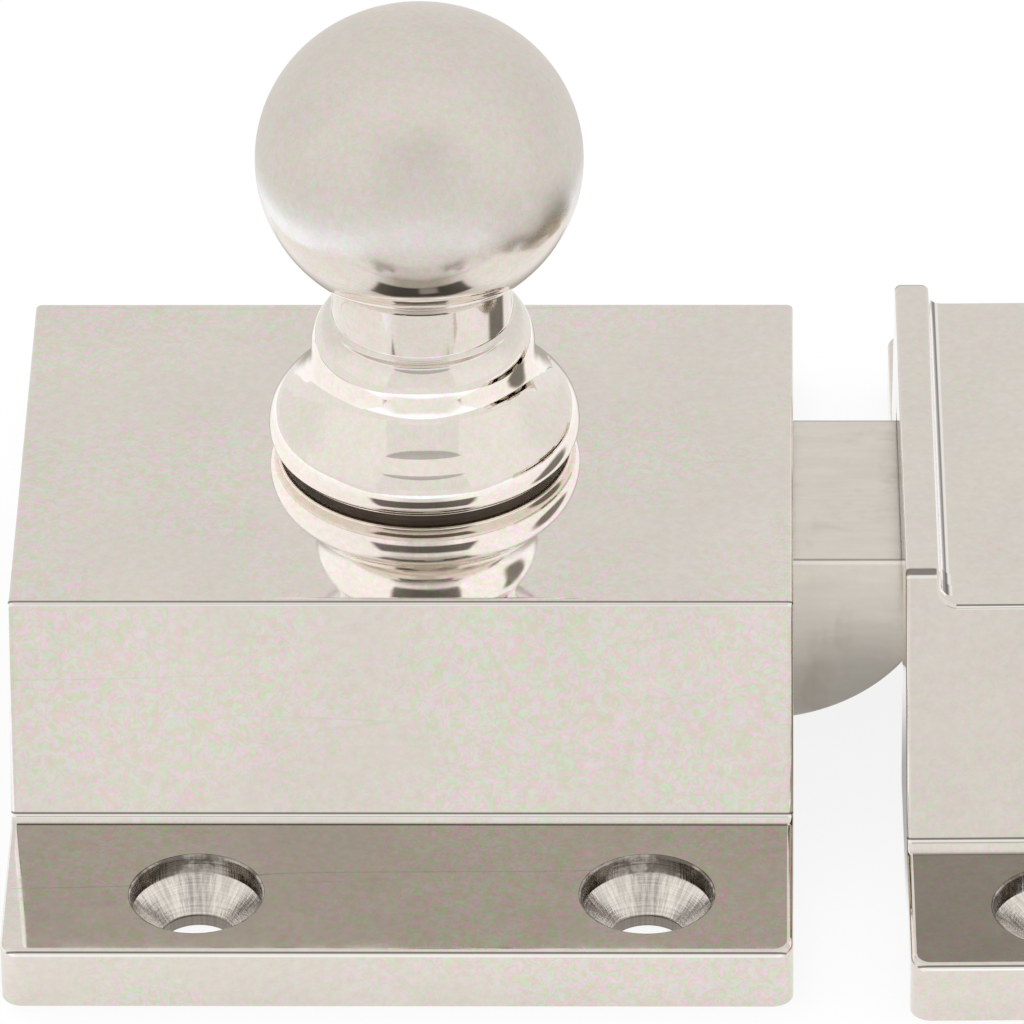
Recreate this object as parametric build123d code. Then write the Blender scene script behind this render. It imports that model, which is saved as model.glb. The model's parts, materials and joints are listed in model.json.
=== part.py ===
from build123d import *
import os
from math import acos, atan2, cos, hypot, pi, radians, sin, tan

# Cupboard catch latch: latch case with a ball knob and a spring bolt, and its keeper.
# Millimetres. The origin is the middle of the case's four mounting holes, on the mounting face.
# +X points from the case to the keeper, +Z out of the door, -Y to the side that is seen first.
# Turning the knob a quarter turn, anticlockwise seen from above, pulls the bolt into the case.

os.makedirs("parts", exist_ok=True)

# Sizes shared by case and keeper
overall_depth = 64.8
hole_row_inset = 5.6
hole_dia = 4.3
screw_head_dia = 7.4
screw_head_recess = 1.25
screw_cone_angle = 82.0
flange_corner_round = 1.2
edge_round = 0.45
cut_past = 1.0
pick_tolerance = 0.01
smooth_angle = 5.0

# Latch case
case_width = 44.5
case_height = 16.0
case_top_depth = 31.0
case_foot_depth = 39.4
case_flange_thickness = 3.75
case_foot_round = 0.6
case_hole_pitch = 25.4
case_hole_offset = 1.3
case_side_wall = 2.2
case_roof = 2.2
case_left_wall = 2.2
case_bolt_wall = 3.0

# Back plate, its ledge in the case, and its screws
plate_thickness = 1.6
plate_sink = 0.2
plate_ledge = 1.1
plate_clearance = 0.1
plate_corner_round = 1.5
post_dia = 5.0
post_bite = 0.3
plate_screw_dia = 2.5
plate_screw_head_dia = 4.6
plate_screw_length = 6.0
plate_screw_slot = 0.6
pilot_hole_spare = 0.8
seat_clearance = 0.02

# Bolt
throw = 8.6
bolt_width = 14.4
bolt_height = 11.2
bolt_nose_radius = 10.6
bolt_floor_clearance = 0.2
bolt_edge_chamfer = 0.25
mouth_clearance = 0.15
shoulder_half_width = 9.5
shoulder_length = 2.9
shoulder_clearance = 0.05
tail_height = 6.6
tail_outer_y = 9.5
crossbar_length = 3.0
pad_width = 3.55
pad_clearance = 0.35
spring_lug_width = 10.0
spring_lug_top = 11.5
lug_guide_clearance = 0.15
lug_guide_thickness = 1.5
lug_guide_bottom = 9.0
moving_clearance = 0.5

# Knob: heights are over the top of the thrust washer's seat on the case
knob_offset_x = -0.3
knob_offset_y = 0.9
washer_thickness = 0.4
washer_dia = 16.6
washer_bore_clearance = 0.1
knob_foot_radius = 8.5
knob_foot_height = 0.55
knob_bulge_radius = 8.95
knob_bulge_height = 1.45
knob_shoulder_radius = 8.8
knob_shoulder_height = 2.35
knob_flare_radius = 7.6
knob_flare_height = 3.8
knob_waist_radius = 6.55
knob_waist_height = 5.6
knob_collar_radius = 6.42
knob_collar_height = 6.8
knob_collar_top_radius = 5.6
knob_collar_top_height = 8.75
knob_neck_radius = 5.2
knob_neck_shoulder = 0.4
ball_radius = 9.35
ball_half_height = 8.78
ball_centre_height = 19.21
ball_side_radius = 8.5

# Spindle, cam and cam screw
journal_dia = 7.0
running_clearance = 0.05
collar_dia = 8.0
collar_end_play = 0.1
socket_dia = 6.0
socket_depth = 8.0
cam_bottom = 4.2
cam_thickness = 4.0
square_side = 4.9
hub_radius = 4.6
cam_turn = 90.0
cam_overrun = 3.4
cam_tip_angle = 9.0
cam_first_contact = 0.6
cam_flank_steps = 9
flank_clearance = 0.05
cam_washer_thickness = 0.4
cam_washer_dia = 8.0
cam_screw_dia = 3.0
cam_screw_head_dia = 5.0
cam_screw_head_height = 1.6
cam_screw_length = 5.0
cam_screw_slot = 0.7
slot_depth_share = 0.45

# Spring and its guide pin
spring_wire_dia = 0.5
spring_wire_sides = 8
spring_outer_dia = 7.5
spring_turns = 6
spring_height = 6.8
spring_pocket_dia = 8.0
spring_pocket_depth = 0.8
spring_end_clearance = 0.02
guide_pin_dia = 4.0
guide_pin_reach = 4.6
guide_pin_seat = 2.4

# Keeper
keeper_gap = 6.12
keeper_shift_y = -1.34
keeper_turn = 0.77
keeper_width = 17.0
keeper_height = 16.8
keeper_top_depth = 31.4
keeper_foot_depth = 42.4
keeper_flange_thickness = 3.8
keeper_foot_round = 0.9
keeper_hole_x = 8.5
keeper_wall = 2.2
keeper_lip_width = 2.0
keeper_lip_height = 1.8
keeper_lip_root_round = 0.85
keeper_lip_crest_round = 0.5
keeper_mouth_half_width = 9.0
keeper_mouth_height = 13.9

# Places that follow from the sizes
case_left = -case_hole_offset - case_width / 2
case_right = case_left + case_width
cavity_left = case_left + case_left_wall
cavity_right = case_right - case_bolt_wall
cavity_roof = case_height - case_roof
plate_top = plate_sink + plate_thickness
hole_row_y = overall_depth / 2 - hole_row_inset
base_circle = throw / radians(cam_turn)

bolt_bottom = plate_top + bolt_floor_clearance
bolt_top = bolt_bottom + bolt_height
bolt_tip = case_right + throw
tail_top = bolt_bottom + tail_height
shoulder_right = cavity_right - shoulder_clearance
shoulder_left = shoulder_right - shoulder_length
head_left = knob_offset_x + collar_dia / 2 + throw + moving_clearance
crossbar_right = knob_offset_x - hub_radius - moving_clearance
crossbar_left = crossbar_right - crossbar_length
rail_inner_y = knob_offset_y - hub_radius - moving_clearance
pad_inner_y = knob_offset_y + hub_radius + pad_clearance
pad_right = knob_offset_x - cam_first_contact - flank_clearance

cam_top = cam_bottom + cam_thickness
cam_washer_bottom = cam_bottom - cam_washer_thickness
cam_screw_bottom = cam_washer_bottom - cam_screw_head_height
knob_seat = case_height + washer_thickness
socket_top = knob_seat + socket_depth
pocket_floor = cavity_left - spring_pocket_depth

post_inset = post_dia / 2 - post_bite
post_y = case_foot_depth / 2 - case_side_wall - post_inset
post_places = [(x, y)
               for x in (cavity_left + post_inset, cavity_right - post_inset)
               for y in (-post_y, post_y)]

keeper_place = Pos(case_right + keeper_gap, keeper_shift_y, 0) * Rot(0, 0, keeper_turn)

MIN_Z = (Align.CENTER, Align.CENTER, Align.MIN)


def block(x0, x1, y0, y1, z0, z1):
    """Box between two corners."""
    return Pos(x0, y0, z0) * Box(x1 - x0, y1 - y0, z1 - z0, align=(Align.MIN,) * 3)


def rod(diameter, z0, z1, x=0.0, y=0.0):
    """Upright cylinder between two heights."""
    return Pos(x, y, z0) * Cylinder(diameter / 2, z1 - z0, align=MIN_Z)


def rod_along_x(diameter, x0, x1, y, z):
    """Cylinder along X between two places."""
    return Plane((x0, y, z), z_dir=(1, 0, 0)) * Cylinder(diameter / 2, x1 - x0, align=MIN_Z)


def prism_along_x(points, x0, x1):
    """Outline of (y, z) points, carried along X from x0 to x1."""
    face = Plane((x0, 0, 0), x_dir=(0, 1, 0), z_dir=(1, 0, 0)) * make_face(Polyline(*points, close=True))
    return extrude(face, x1 - x0)


def mirrored(half):
    """Closed outline from its +Y half, listed from the top to the mounting face."""
    return half + [(-y, z) for y, z in reversed(half)]


def on_knob_axis(shape):
    """Set a piece made round the Z axis on the knob's own axis."""
    return Pos(knob_offset_x, knob_offset_y, 0) * shape


def countersunk_hole(x, y, top):
    """Cutter for a mounting screw: flat recess, cone and through hole, from the flange top."""
    cone_depth = (screw_head_dia - hole_dia) / 2 / tan(radians(screw_cone_angle / 2))
    cone_top = top - screw_head_recess
    recess = rod(screw_head_dia, cone_top, top + cut_past, x, y)
    cone = Pos(x, y, cone_top - cone_depth) * Cone(hole_dia / 2, screw_head_dia / 2, cone_depth, align=MIN_Z)
    return recess + cone + rod(hole_dia, -cut_past, top, x, y)


def flanged_hood(x0, x1, height, top_depth, foot_depth, flange_thickness, foot_round):
    """Solid form shared by case and keeper: flat top, sloping flanks and two flanges."""
    half = [
        (top_depth / 2, height),
        (foot_depth / 2, flange_thickness),
        (overall_depth / 2, flange_thickness),
        (overall_depth / 2, 0),
    ]
    body = prism_along_x(mirrored(half), x0, x1)
    corners = [e for e in body.edges().filter_by(Axis.Z) if abs(e.center().Y) > overall_depth / 2 - pick_tolerance]
    body = fillet(corners, flange_corner_round)
    feet = [e for e in body.edges().filter_by(Axis.X)
            if abs(e.center().Z - flange_thickness) < pick_tolerance
            and abs(e.center().Y) < foot_depth / 2 + pick_tolerance]
    return fillet(feet, foot_round)


def sharp_edges(body):
    """Edges of a hood where two faces meet at an angle, above the mounting face."""
    picked = []
    for edge in body.edges():
        if edge.bounding_box().min.Z < pick_tolerance:
            continue
        faces = [f for f in body.faces() if any(edge.is_same(other) for other in f.edges())]
        middle = edge @ 0.5
        if len(faces) == 2 and faces[0].normal_at(middle).get_angle(faces[1].normal_at(middle)) > smooth_angle:
            picked.append(edge)
    return picked


def cavity_outline(top_depth, foot_depth, wall, foot_height, roof):
    """Outline of a hollow whose walls follow the flanks."""
    half = [
        (top_depth / 2 - wall, roof),
        (foot_depth / 2 - wall, foot_height),
        (foot_depth / 2 - wall, -cut_past),
    ]
    return mirrored(half)


def make_latch_case():
    body = flanged_hood(case_left, case_right, case_height, case_top_depth, case_foot_depth,
                        case_flange_thickness, case_foot_round)
    body = fillet(sharp_edges(body), edge_round)
    hollow = prism_along_x(
        cavity_outline(case_top_depth, case_foot_depth, case_side_wall, case_flange_thickness, cavity_roof),
        cavity_left, cavity_right)
    for x, y in post_places:
        hollow = hollow - rod(post_dia, plate_top, case_height, x, y)
    for side in (-1, 1):
        inner = side * (spring_lug_width / 2 + lug_guide_clearance)
        outer = inner + side * lug_guide_thickness
        hollow = hollow - block(case_left, crossbar_right + moving_clearance,
                                min(inner, outer), max(inner, outer), lug_guide_bottom, case_height)
    body = body - hollow
    ledge_side = case_foot_depth / 2 - case_side_wall + plate_ledge
    rebate = block(cavity_left - plate_ledge, cavity_right + plate_ledge, -ledge_side, ledge_side,
                   -cut_past, plate_top)
    body = body - fillet(rebate.edges().filter_by(Axis.Z), plate_corner_round + plate_clearance)
    mouth_half = bolt_width / 2 + mouth_clearance
    body = body - block(cavity_right - cut_past, case_right + cut_past, -mouth_half, mouth_half,
                        plate_top, bolt_top + mouth_clearance)
    body = body - rod_along_x(spring_pocket_dia, pocket_floor, cavity_left + cut_past, 0, spring_height)
    body = body - on_knob_axis(rod(journal_dia + 2 * running_clearance, cavity_roof - cut_past, case_height + cut_past))
    for x, y in post_places:
        pilot_top = plate_sink + plate_screw_length + pilot_hole_spare
        body = body - rod(plate_screw_dia + 2 * seat_clearance, plate_top - cut_past, pilot_top, x, y)
    for x in (-case_hole_pitch / 2, case_hole_pitch / 2):
        for y in (-hole_row_y, hole_row_y):
            body = body - countersunk_hole(x, y, case_flange_thickness)
    return body


def make_keeper():
    """Keeper: the hood's flanks run on upwards at the end that faces the case, as a lip."""
    lip_top = keeper_height + keeper_lip_height
    flank_lean = (keeper_foot_depth - keeper_top_depth) / (keeper_height - keeper_flange_thickness)
    body = flanged_hood(0, keeper_width, lip_top, keeper_top_depth - flank_lean * keeper_lip_height,
                        keeper_foot_depth, keeper_flange_thickness, keeper_foot_round)
    step = block(keeper_lip_width, keeper_width + cut_past, -keeper_top_depth, keeper_top_depth,
                 keeper_height, lip_top + cut_past)
    root = [e for e in step.edges().filter_by(Axis.Y)
            if e.center().X < keeper_width / 2 and e.center().Z < lip_top]
    body = body - fillet(root, keeper_lip_root_round)
    crest = [e for e in body.edges().filter_by(Axis.Y)
             if abs(e.center().X - keeper_lip_width) < pick_tolerance
             and e.center().Z > lip_top - pick_tolerance]
    body = fillet(crest, keeper_lip_crest_round)
    body = fillet(sharp_edges(body), edge_round)
    body = body - prism_along_x(
        cavity_outline(keeper_top_depth, keeper_foot_depth, keeper_wall, keeper_flange_thickness,
                       keeper_height - keeper_wall),
        keeper_wall, keeper_width - keeper_wall)
    body = body - block(-cut_past, keeper_wall + cut_past, -keeper_mouth_half_width, keeper_mouth_half_width,
                        -cut_past, keeper_mouth_height)
    for y in (-hole_row_y, hole_row_y):
        body = body - countersunk_hole(keeper_hole_x, y, keeper_flange_thickness)
    return keeper_place * body


def make_back_plate():
    side = case_foot_depth / 2 - case_side_wall + plate_ledge - plate_clearance
    plate = block(cavity_left - plate_ledge + plate_clearance, cavity_right + plate_ledge - plate_clearance,
                  -side, side, plate_sink, plate_top)
    plate = fillet(plate.edges().filter_by(Axis.Z), plate_corner_round)
    for x, y in post_places:
        plate = plate - Pos(x, y, 0) * plate_screw_form(seat_clearance, plate_top + cut_past)
    return plate


def plate_screw_form(growth, top):
    """Countersunk head and shank, head down, widened by growth on the radius."""
    head_height = (plate_screw_head_dia - plate_screw_dia) / 2
    head = Pos(0, 0, plate_sink) * Cone(plate_screw_head_dia / 2 + growth, plate_screw_dia / 2 + growth,
                                        head_height, align=MIN_Z)
    return head + rod(plate_screw_dia + 2 * growth, plate_sink, top)


def make_back_plate_screw(x, y):
    screw = plate_screw_form(0, plate_sink + plate_screw_length)
    head_height = (plate_screw_head_dia - plate_screw_dia) / 2
    slot = block(-plate_screw_head_dia, plate_screw_head_dia, -plate_screw_slot / 2, plate_screw_slot / 2,
                 plate_sink - cut_past, plate_sink + head_height * slot_depth_share)
    return Pos(x, y, 0) * (screw - slot)


def make_thrust_washer():
    bore = rod(journal_dia + 2 * washer_bore_clearance, case_height - cut_past, knob_seat + cut_past)
    return on_knob_axis(rod(washer_dia, case_height, knob_seat) - bore)


def ball_outline():
    """Flattened ball from the neck to the pole: a side arc between two flatter arcs, all tangent."""
    side_middle_x = ball_radius - ball_side_radius
    flat_radius = ((side_middle_x ** 2 + ball_half_height ** 2 - ball_side_radius ** 2)
                   / (2 * (ball_half_height - ball_side_radius)))
    flat_middle = flat_radius - ball_half_height
    lean = atan2(flat_middle, side_middle_x)
    join_x = side_middle_x + ball_side_radius * cos(lean)
    join_rise = ball_side_radius * sin(lean)
    neck_drop = (flat_radius ** 2 - knob_neck_radius ** 2) ** 0.5 - flat_middle

    def side_point(x, rise):
        return (x, ball_centre_height + rise)

    below = RadiusArc(side_point(knob_neck_radius, -neck_drop), side_point(join_x, -join_rise), -flat_radius)
    side = ThreePointArc(side_point(join_x, -join_rise), side_point(ball_radius, 0), side_point(join_x, join_rise))
    above = RadiusArc(side_point(join_x, join_rise), side_point(0, ball_half_height), -flat_radius)
    return Wire([below, side, above])


def make_knob():
    """Turned knob: foot, bulge, flared collar, neck and flattened ball, with a blind socket."""
    neck_bottom = knob_collar_top_height + knob_neck_shoulder
    foot = Line((knob_foot_radius, washer_thickness), (knob_foot_radius, knob_foot_height))
    bulge = Spline((knob_foot_radius, knob_foot_height), (knob_bulge_radius, knob_bulge_height),
                   (knob_shoulder_radius, knob_shoulder_height))
    flare = Spline((knob_shoulder_radius, knob_shoulder_height), (knob_flare_radius, knob_flare_height),
                   (knob_waist_radius, knob_waist_height), (knob_collar_radius, knob_collar_height),
                   tangents=(bulge % 1, (0, 1)))
    collar = Spline((knob_collar_radius, knob_collar_height), (knob_collar_top_radius, knob_collar_top_height),
                    tangents=((0, 1), (-1, 1)))
    shoulder = Line((knob_collar_top_radius, knob_collar_top_height), (knob_neck_radius, neck_bottom))
    ball = ball_outline()
    neck = Line((knob_neck_radius, neck_bottom), ball @ 0)
    socket_radius = socket_dia / 2 + seat_clearance
    socket_end = washer_thickness + socket_depth + seat_clearance
    inside = Polyline((0, ball_centre_height + ball_half_height), (0, socket_end), (socket_radius, socket_end),
                      (socket_radius, washer_thickness), (knob_foot_radius, washer_thickness))
    outline = make_face([foot, bulge, flare, collar, shoulder, neck, *ball.edges(), inside])
    return on_knob_axis(Pos(0, 0, case_height) * revolve(Plane.XZ * outline, Axis.Z))


def make_knob_spindle():
    """Square for the cam, retaining collar under the roof, journal and stub for the knob."""
    square_bottom = cam_bottom + seat_clearance * 2
    spindle = Pos(0, 0, square_bottom) * Box(square_side, square_side, cam_top - square_bottom, align=MIN_Z)
    collar_top = cavity_roof - collar_end_play
    spindle = spindle + rod(collar_dia, cam_top, collar_top)
    spindle = spindle + rod(journal_dia, collar_top, knob_seat)
    spindle = spindle + rod(socket_dia, knob_seat, socket_top)
    bore_top = cam_washer_bottom + cam_screw_length + pilot_hole_spare
    spindle = spindle - rod(cam_screw_dia + 2 * seat_clearance, square_bottom - cut_past, bore_top)
    return on_knob_axis(spindle)


def flank_point(angle):
    """Point of the cam's involute flank at rest, for a contact after the given turn."""
    reach = cam_first_contact + base_circle * angle
    return (base_circle * sin(angle) - reach * cos(angle), base_circle * cos(angle) + reach * sin(angle))


def make_bolt_cam():
    """Cam with an involute flank, so the bolt moves evenly with the knob's turn."""
    start_angle = -cam_first_contact / base_circle
    end_angle = radians(cam_turn + cam_overrun)
    flank_points = [flank_point(start_angle + (end_angle - start_angle) * i / cam_flank_steps)
                    for i in range(cam_flank_steps + 1)]
    root = flank_points[0]
    tip = flank_points[-1]
    root_direction = atan2(root[1], root[0])
    tip_radius = hypot(*tip)
    tip_direction = atan2(tip[1], tip[0])
    heel_direction = tip_direction - radians(cam_tip_angle)
    leave_direction = heel_direction - acos(hub_radius / tip_radius)
    hub_middle = (root_direction + leave_direction) / 2 + pi

    def polar(radius, angle):
        return (radius * cos(angle), radius * sin(angle))

    hub_root = polar(hub_radius, root_direction)
    heel = polar(tip_radius, heel_direction)
    leave = polar(hub_radius, leave_direction)
    outline = make_face([
        Line(hub_root, root),
        Spline(*flank_points),
        ThreePointArc(tip, polar(tip_radius, (tip_direction + heel_direction) / 2), heel),
        Line(heel, leave),
        ThreePointArc(leave, polar(hub_radius, hub_middle), hub_root),
    ])
    cam = Pos(0, 0, cam_bottom) * extrude(outline, cam_thickness)
    bore = square_side + 2 * running_clearance
    cam = cam - Pos(0, 0, cam_bottom - cut_past) * Box(bore, bore, cam_thickness + 2 * cut_past, align=MIN_Z)
    return on_knob_axis(cam)


def make_cam_washer():
    ring = rod(cam_washer_dia, cam_washer_bottom, cam_bottom)
    bore = rod(cam_screw_dia + 2 * running_clearance, cam_washer_bottom - cut_past, cam_bottom + cut_past)
    return on_knob_axis(ring - bore)


def make_cam_screw():
    screw = rod(cam_screw_head_dia, cam_screw_bottom, cam_washer_bottom)
    screw = screw + rod(cam_screw_dia, cam_washer_bottom, cam_washer_bottom + cam_screw_length)
    slot = block(-cam_screw_head_dia, cam_screw_head_dia, -cam_screw_slot / 2, cam_screw_slot / 2,
                 cam_screw_bottom - cut_past, cam_screw_bottom + cam_screw_head_height * slot_depth_share)
    return on_knob_axis(screw - slot)


def make_bolt():
    """Bolt head with a quarter-round underside, shoulder bar, rail, crossbar, pad and spring lug."""
    arc_centre_x = bolt_tip - bolt_nose_radius
    arc_centre_z = bolt_bottom + bolt_nose_radius
    arc_middle = (arc_centre_x + bolt_nose_radius * sin(pi / 4), arc_centre_z - bolt_nose_radius * cos(pi / 4))
    head_outline = make_face([
        Line((shoulder_left, bolt_bottom), (arc_centre_x, bolt_bottom)),
        ThreePointArc((arc_centre_x, bolt_bottom), arc_middle, (bolt_tip, arc_centre_z)),
        Polyline((bolt_tip, arc_centre_z), (bolt_tip, bolt_top), (head_left, bolt_top),
                 (head_left, tail_top), (shoulder_left, tail_top), (shoulder_left, bolt_bottom)),
    ])
    half = bolt_width / 2
    head = extrude(Plane((0, half, 0), x_dir=(1, 0, 0), z_dir=(0, -1, 0)) * head_outline, bolt_width)
    outside = [e for e in head.edges() if e.bounding_box().min.X > head_left - pick_tolerance
               and e.bounding_box().max.Z > bolt_top - pick_tolerance]
    head = chamfer(outside, bolt_edge_chamfer)
    bolt = head + block(shoulder_left, shoulder_right, -shoulder_half_width, shoulder_half_width,
                        bolt_bottom, tail_top)
    bolt = bolt + block(crossbar_left, shoulder_left + cut_past, -tail_outer_y, rail_inner_y, bolt_bottom, tail_top)
    bolt = bolt + block(crossbar_left, crossbar_right, -tail_outer_y, pad_inner_y + pad_width,
                        bolt_bottom, tail_top)
    bolt = bolt + block(crossbar_right - cut_past, pad_right, pad_inner_y, pad_inner_y + pad_width,
                        bolt_bottom, tail_top)
    bolt = bolt + block(crossbar_left, crossbar_right, -spring_lug_width / 2, spring_lug_width / 2,
                        tail_top - cut_past, spring_lug_top)
    seat = rod_along_x(guide_pin_dia + 2 * seat_clearance, crossbar_left - cut_past, crossbar_left + guide_pin_seat,
                       0, spring_height)
    return bolt - seat


def make_spring_guide_pin():
    return rod_along_x(guide_pin_dia, crossbar_left - guide_pin_reach, crossbar_left + guide_pin_seat,
                       0, spring_height)


def make_bolt_spring():
    """Compression spring between the case's left wall and the bolt's crossbar, its wire eight-sided."""
    first = pocket_floor + spring_end_clearance + spring_wire_dia / 2
    last = crossbar_left - spring_end_clearance - spring_wire_dia / 2
    coil_radius = (spring_outer_dia - spring_wire_dia) / 2
    path = Helix((last - first) / spring_turns, last - first, coil_radius)
    section = Plane(path @ 0, z_dir=path % 0) * RegularPolygon(spring_wire_dia / 2, spring_wire_sides)
    coil = sweep(section, path)
    return Plane((first, 0, spring_height), z_dir=(1, 0, 0)) * coil


pieces = {
    "latch_case": make_latch_case(),
    "back_plate": make_back_plate(),
    "keeper": make_keeper(),
    "thrust_washer": make_thrust_washer(),
    "knob": make_knob(),
    "knob_spindle": make_knob_spindle(),
    "bolt_cam": make_bolt_cam(),
    "cam_washer": make_cam_washer(),
    "cam_screw": make_cam_screw(),
    "bolt": make_bolt(),
    "spring_guide_pin": make_spring_guide_pin(),
    "bolt_spring": make_bolt_spring(),
}
for number, (x, y) in enumerate(post_places, start=1):
    pieces[f"back_plate_screw_{number}"] = make_back_plate_screw(x, y)

for name, shape in pieces.items():
    export_step(shape, f"parts/{name}.step")
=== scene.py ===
import json
from math import acos, asin, atan2, cos, pi, radians, sin, tan

import bmesh
import bpy
from bpy.props import FloatProperty, FloatVectorProperty, IntProperty, PointerProperty
from mathutils import Matrix, Vector


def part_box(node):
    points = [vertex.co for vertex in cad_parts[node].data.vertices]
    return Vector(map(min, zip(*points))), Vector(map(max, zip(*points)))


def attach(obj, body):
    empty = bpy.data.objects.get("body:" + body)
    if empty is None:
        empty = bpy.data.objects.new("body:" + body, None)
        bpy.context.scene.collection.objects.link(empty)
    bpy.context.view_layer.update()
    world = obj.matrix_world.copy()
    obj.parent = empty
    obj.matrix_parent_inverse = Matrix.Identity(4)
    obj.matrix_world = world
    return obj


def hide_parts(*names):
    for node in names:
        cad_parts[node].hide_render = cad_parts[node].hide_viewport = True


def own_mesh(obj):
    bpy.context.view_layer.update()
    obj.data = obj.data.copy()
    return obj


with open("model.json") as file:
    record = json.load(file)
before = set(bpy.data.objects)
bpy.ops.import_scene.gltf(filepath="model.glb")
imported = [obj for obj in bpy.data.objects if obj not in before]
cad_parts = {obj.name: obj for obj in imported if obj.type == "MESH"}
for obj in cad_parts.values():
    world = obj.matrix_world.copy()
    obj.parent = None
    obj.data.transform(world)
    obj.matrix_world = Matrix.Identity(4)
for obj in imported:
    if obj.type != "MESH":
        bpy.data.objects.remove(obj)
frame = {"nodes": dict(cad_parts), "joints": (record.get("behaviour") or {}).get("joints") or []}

bl_info = {
    "name": "Cupboard catch latch",
    "version": (1, 0, 0),
    "blender": (4, 5, 0),
    "location": "3D View > Sidebar > Catch latch",
    "description": "Latch case with a ball knob and a spring bolt, and its keeper, in polished nickel",
    "category": "Object",
}

# Metres. The frame's origin is the middle of the case's four mounting holes, on the mounting face.
# +X points from the case to the keeper, +Z out of the door, -Y to the side that the camera sees.
MM = 0.001
ROUND_SEGMENTS = 6
CUT_PAST = 1 * MM
CASE_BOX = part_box("latch_case")
SPRING_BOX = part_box("bolt_spring")
SPRING_STEPS = 32
SPRING_HEIGHT = 6.8 * MM
KEEPER_TURN = radians(0.77)
RECESS_CONE = radians(41)

# Knob's outline from foot to collar: radius and height over the case's top, in millimetres
KNOB_FLARE = (
    (8.5, 0.55), (8.7, 0.68), (8.85, 0.92), (8.93, 1.2), (8.95, 1.45), (8.93, 1.75), (8.88, 2.05),
    (8.8, 2.35), (8.68, 2.62), (8.5, 2.9), (8.28, 3.16), (8.02, 3.4), (7.78, 3.6), (7.6, 3.8), (7.36, 4.1),
    (7.14, 4.4), (6.95, 4.72), (6.78, 5.06), (6.65, 5.34), (6.55, 5.6), (6.48, 5.95), (6.44, 6.35),
    (6.42, 6.8))

# Colours on the metal: a painted highlight and a painted dark line along rounded edges, hairline scratches,
# and painted shade in the screw recesses
EDGE_PAINTED_HIGHLIGHT = (0.97, 0.94, 0.9, 1.0)
EDGE_PAINTED_DARK_LINE = (0.16, 0.14, 0.12, 1.0)
SCRATCH = (0.5, 0.46, 0.41, 1.0)
RECESS_PAINTED_SHADE = (0.12, 0.1, 0.08, 1.0)

# Heights between which the ball's haze rises, and between which the painted sheen that lightens the knob's
# foot ends
HAZE_RISE = (32.1 * MM, 36 * MM)
FOOT_PAINTED_SHEEN_END = (23.8 * MM, 25.6 * MM)

# Painted shade lines along the groove at the keeper's lip: half width and length, in millimetres
GROOVE_PAINTED_SHADE_LINES = ((0.13, 40.0), (0.2, 2.2), (0.27, 1.1))

# Colours of the surroundings where they are plain and where they are bright
WHITE = (1.0, 1.0, 1.0, 1.0)
COOL_LIGHT = (0.95, 1.0, 1.11, 1.0)
COOL_TABLE = (0.94, 1.0, 1.12, 1.0)

# Dark shapes in reflections, as directions: the tent's opening in front, with its soft edge as a turn
# from straight ahead and as a height; an ellipse over it; and a flag, with its edge as a cosine
OPENING_SIDE = (0.56, 0.6)
OPENING_TOP = (0.68, 0.71)
LENS_HALF = (0.42, 0.06)
LENS_HEIGHT = 0.7
FLAG_AT = Vector((0.76, 0.3, 0.57)).normalized()
FLAG_EDGE = (0.96, 0.985)

# Places of the painted shadow on the floor under the bolt, of the lamp, and of the camera that was fitted to
# the photo
BOLT_PAINTED_SHADOW = (0.026, -0.012, 0.0)
LAMP_AT = Vector((-0.35, 0.45, 0.9))
CAMERA_AT = (0.02052118988, -0.56899445589, 0.39493108764)
CAMERA_RIGHT = Vector((0.99973377, 0.01919953, -0.01279709))
CAMERA_UP = Vector((-0.000113354461, 0.55870265, 0.829368034))


def length(name, description, millimetres):
    """Property for a size, shown in the scene's length unit."""
    return FloatProperty(name=name, description=description, default=millimetres * MM, precision=5,
                         unit="LENGTH", subtype="DISTANCE")


def colour(name, description, value):
    """Property for a linear colour."""
    return FloatVectorProperty(name=name, description=description, default=value, size=3, min=0, max=2,
                               subtype="COLOR")


def share(name, description, value, top=1.0):
    """Property for a plain number from 0 to top."""
    return FloatProperty(name=name, description=description, default=value, min=0, max=top, subtype="FACTOR")


class LatchSharedSizes(bpy.types.PropertyGroup):
    """Sizes that case and keeper share."""
    depth: length("Overall depth", "From flange to flange", 64.8)
    hole_row: length("Hole row", "From the middle to each row of mounting holes", 26.8)
    hole: length("Mounting hole", "Diameter of a mounting hole", 4.3)
    recess: length("Screw recess", "Diameter of the recess for a screw head", 7.4)
    recess_depth: length("Recess depth", "Straight part of the recess", 1.25)
    rim_round: length("Recess rim", "Rounding of the recess's rim", 0.16)
    corner_round: length("Flange corner", "Rounding of the flange's upright corners", 1.2)
    edge_round: length("Edge", "Rounding of the outer edges", 0.36)


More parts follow.
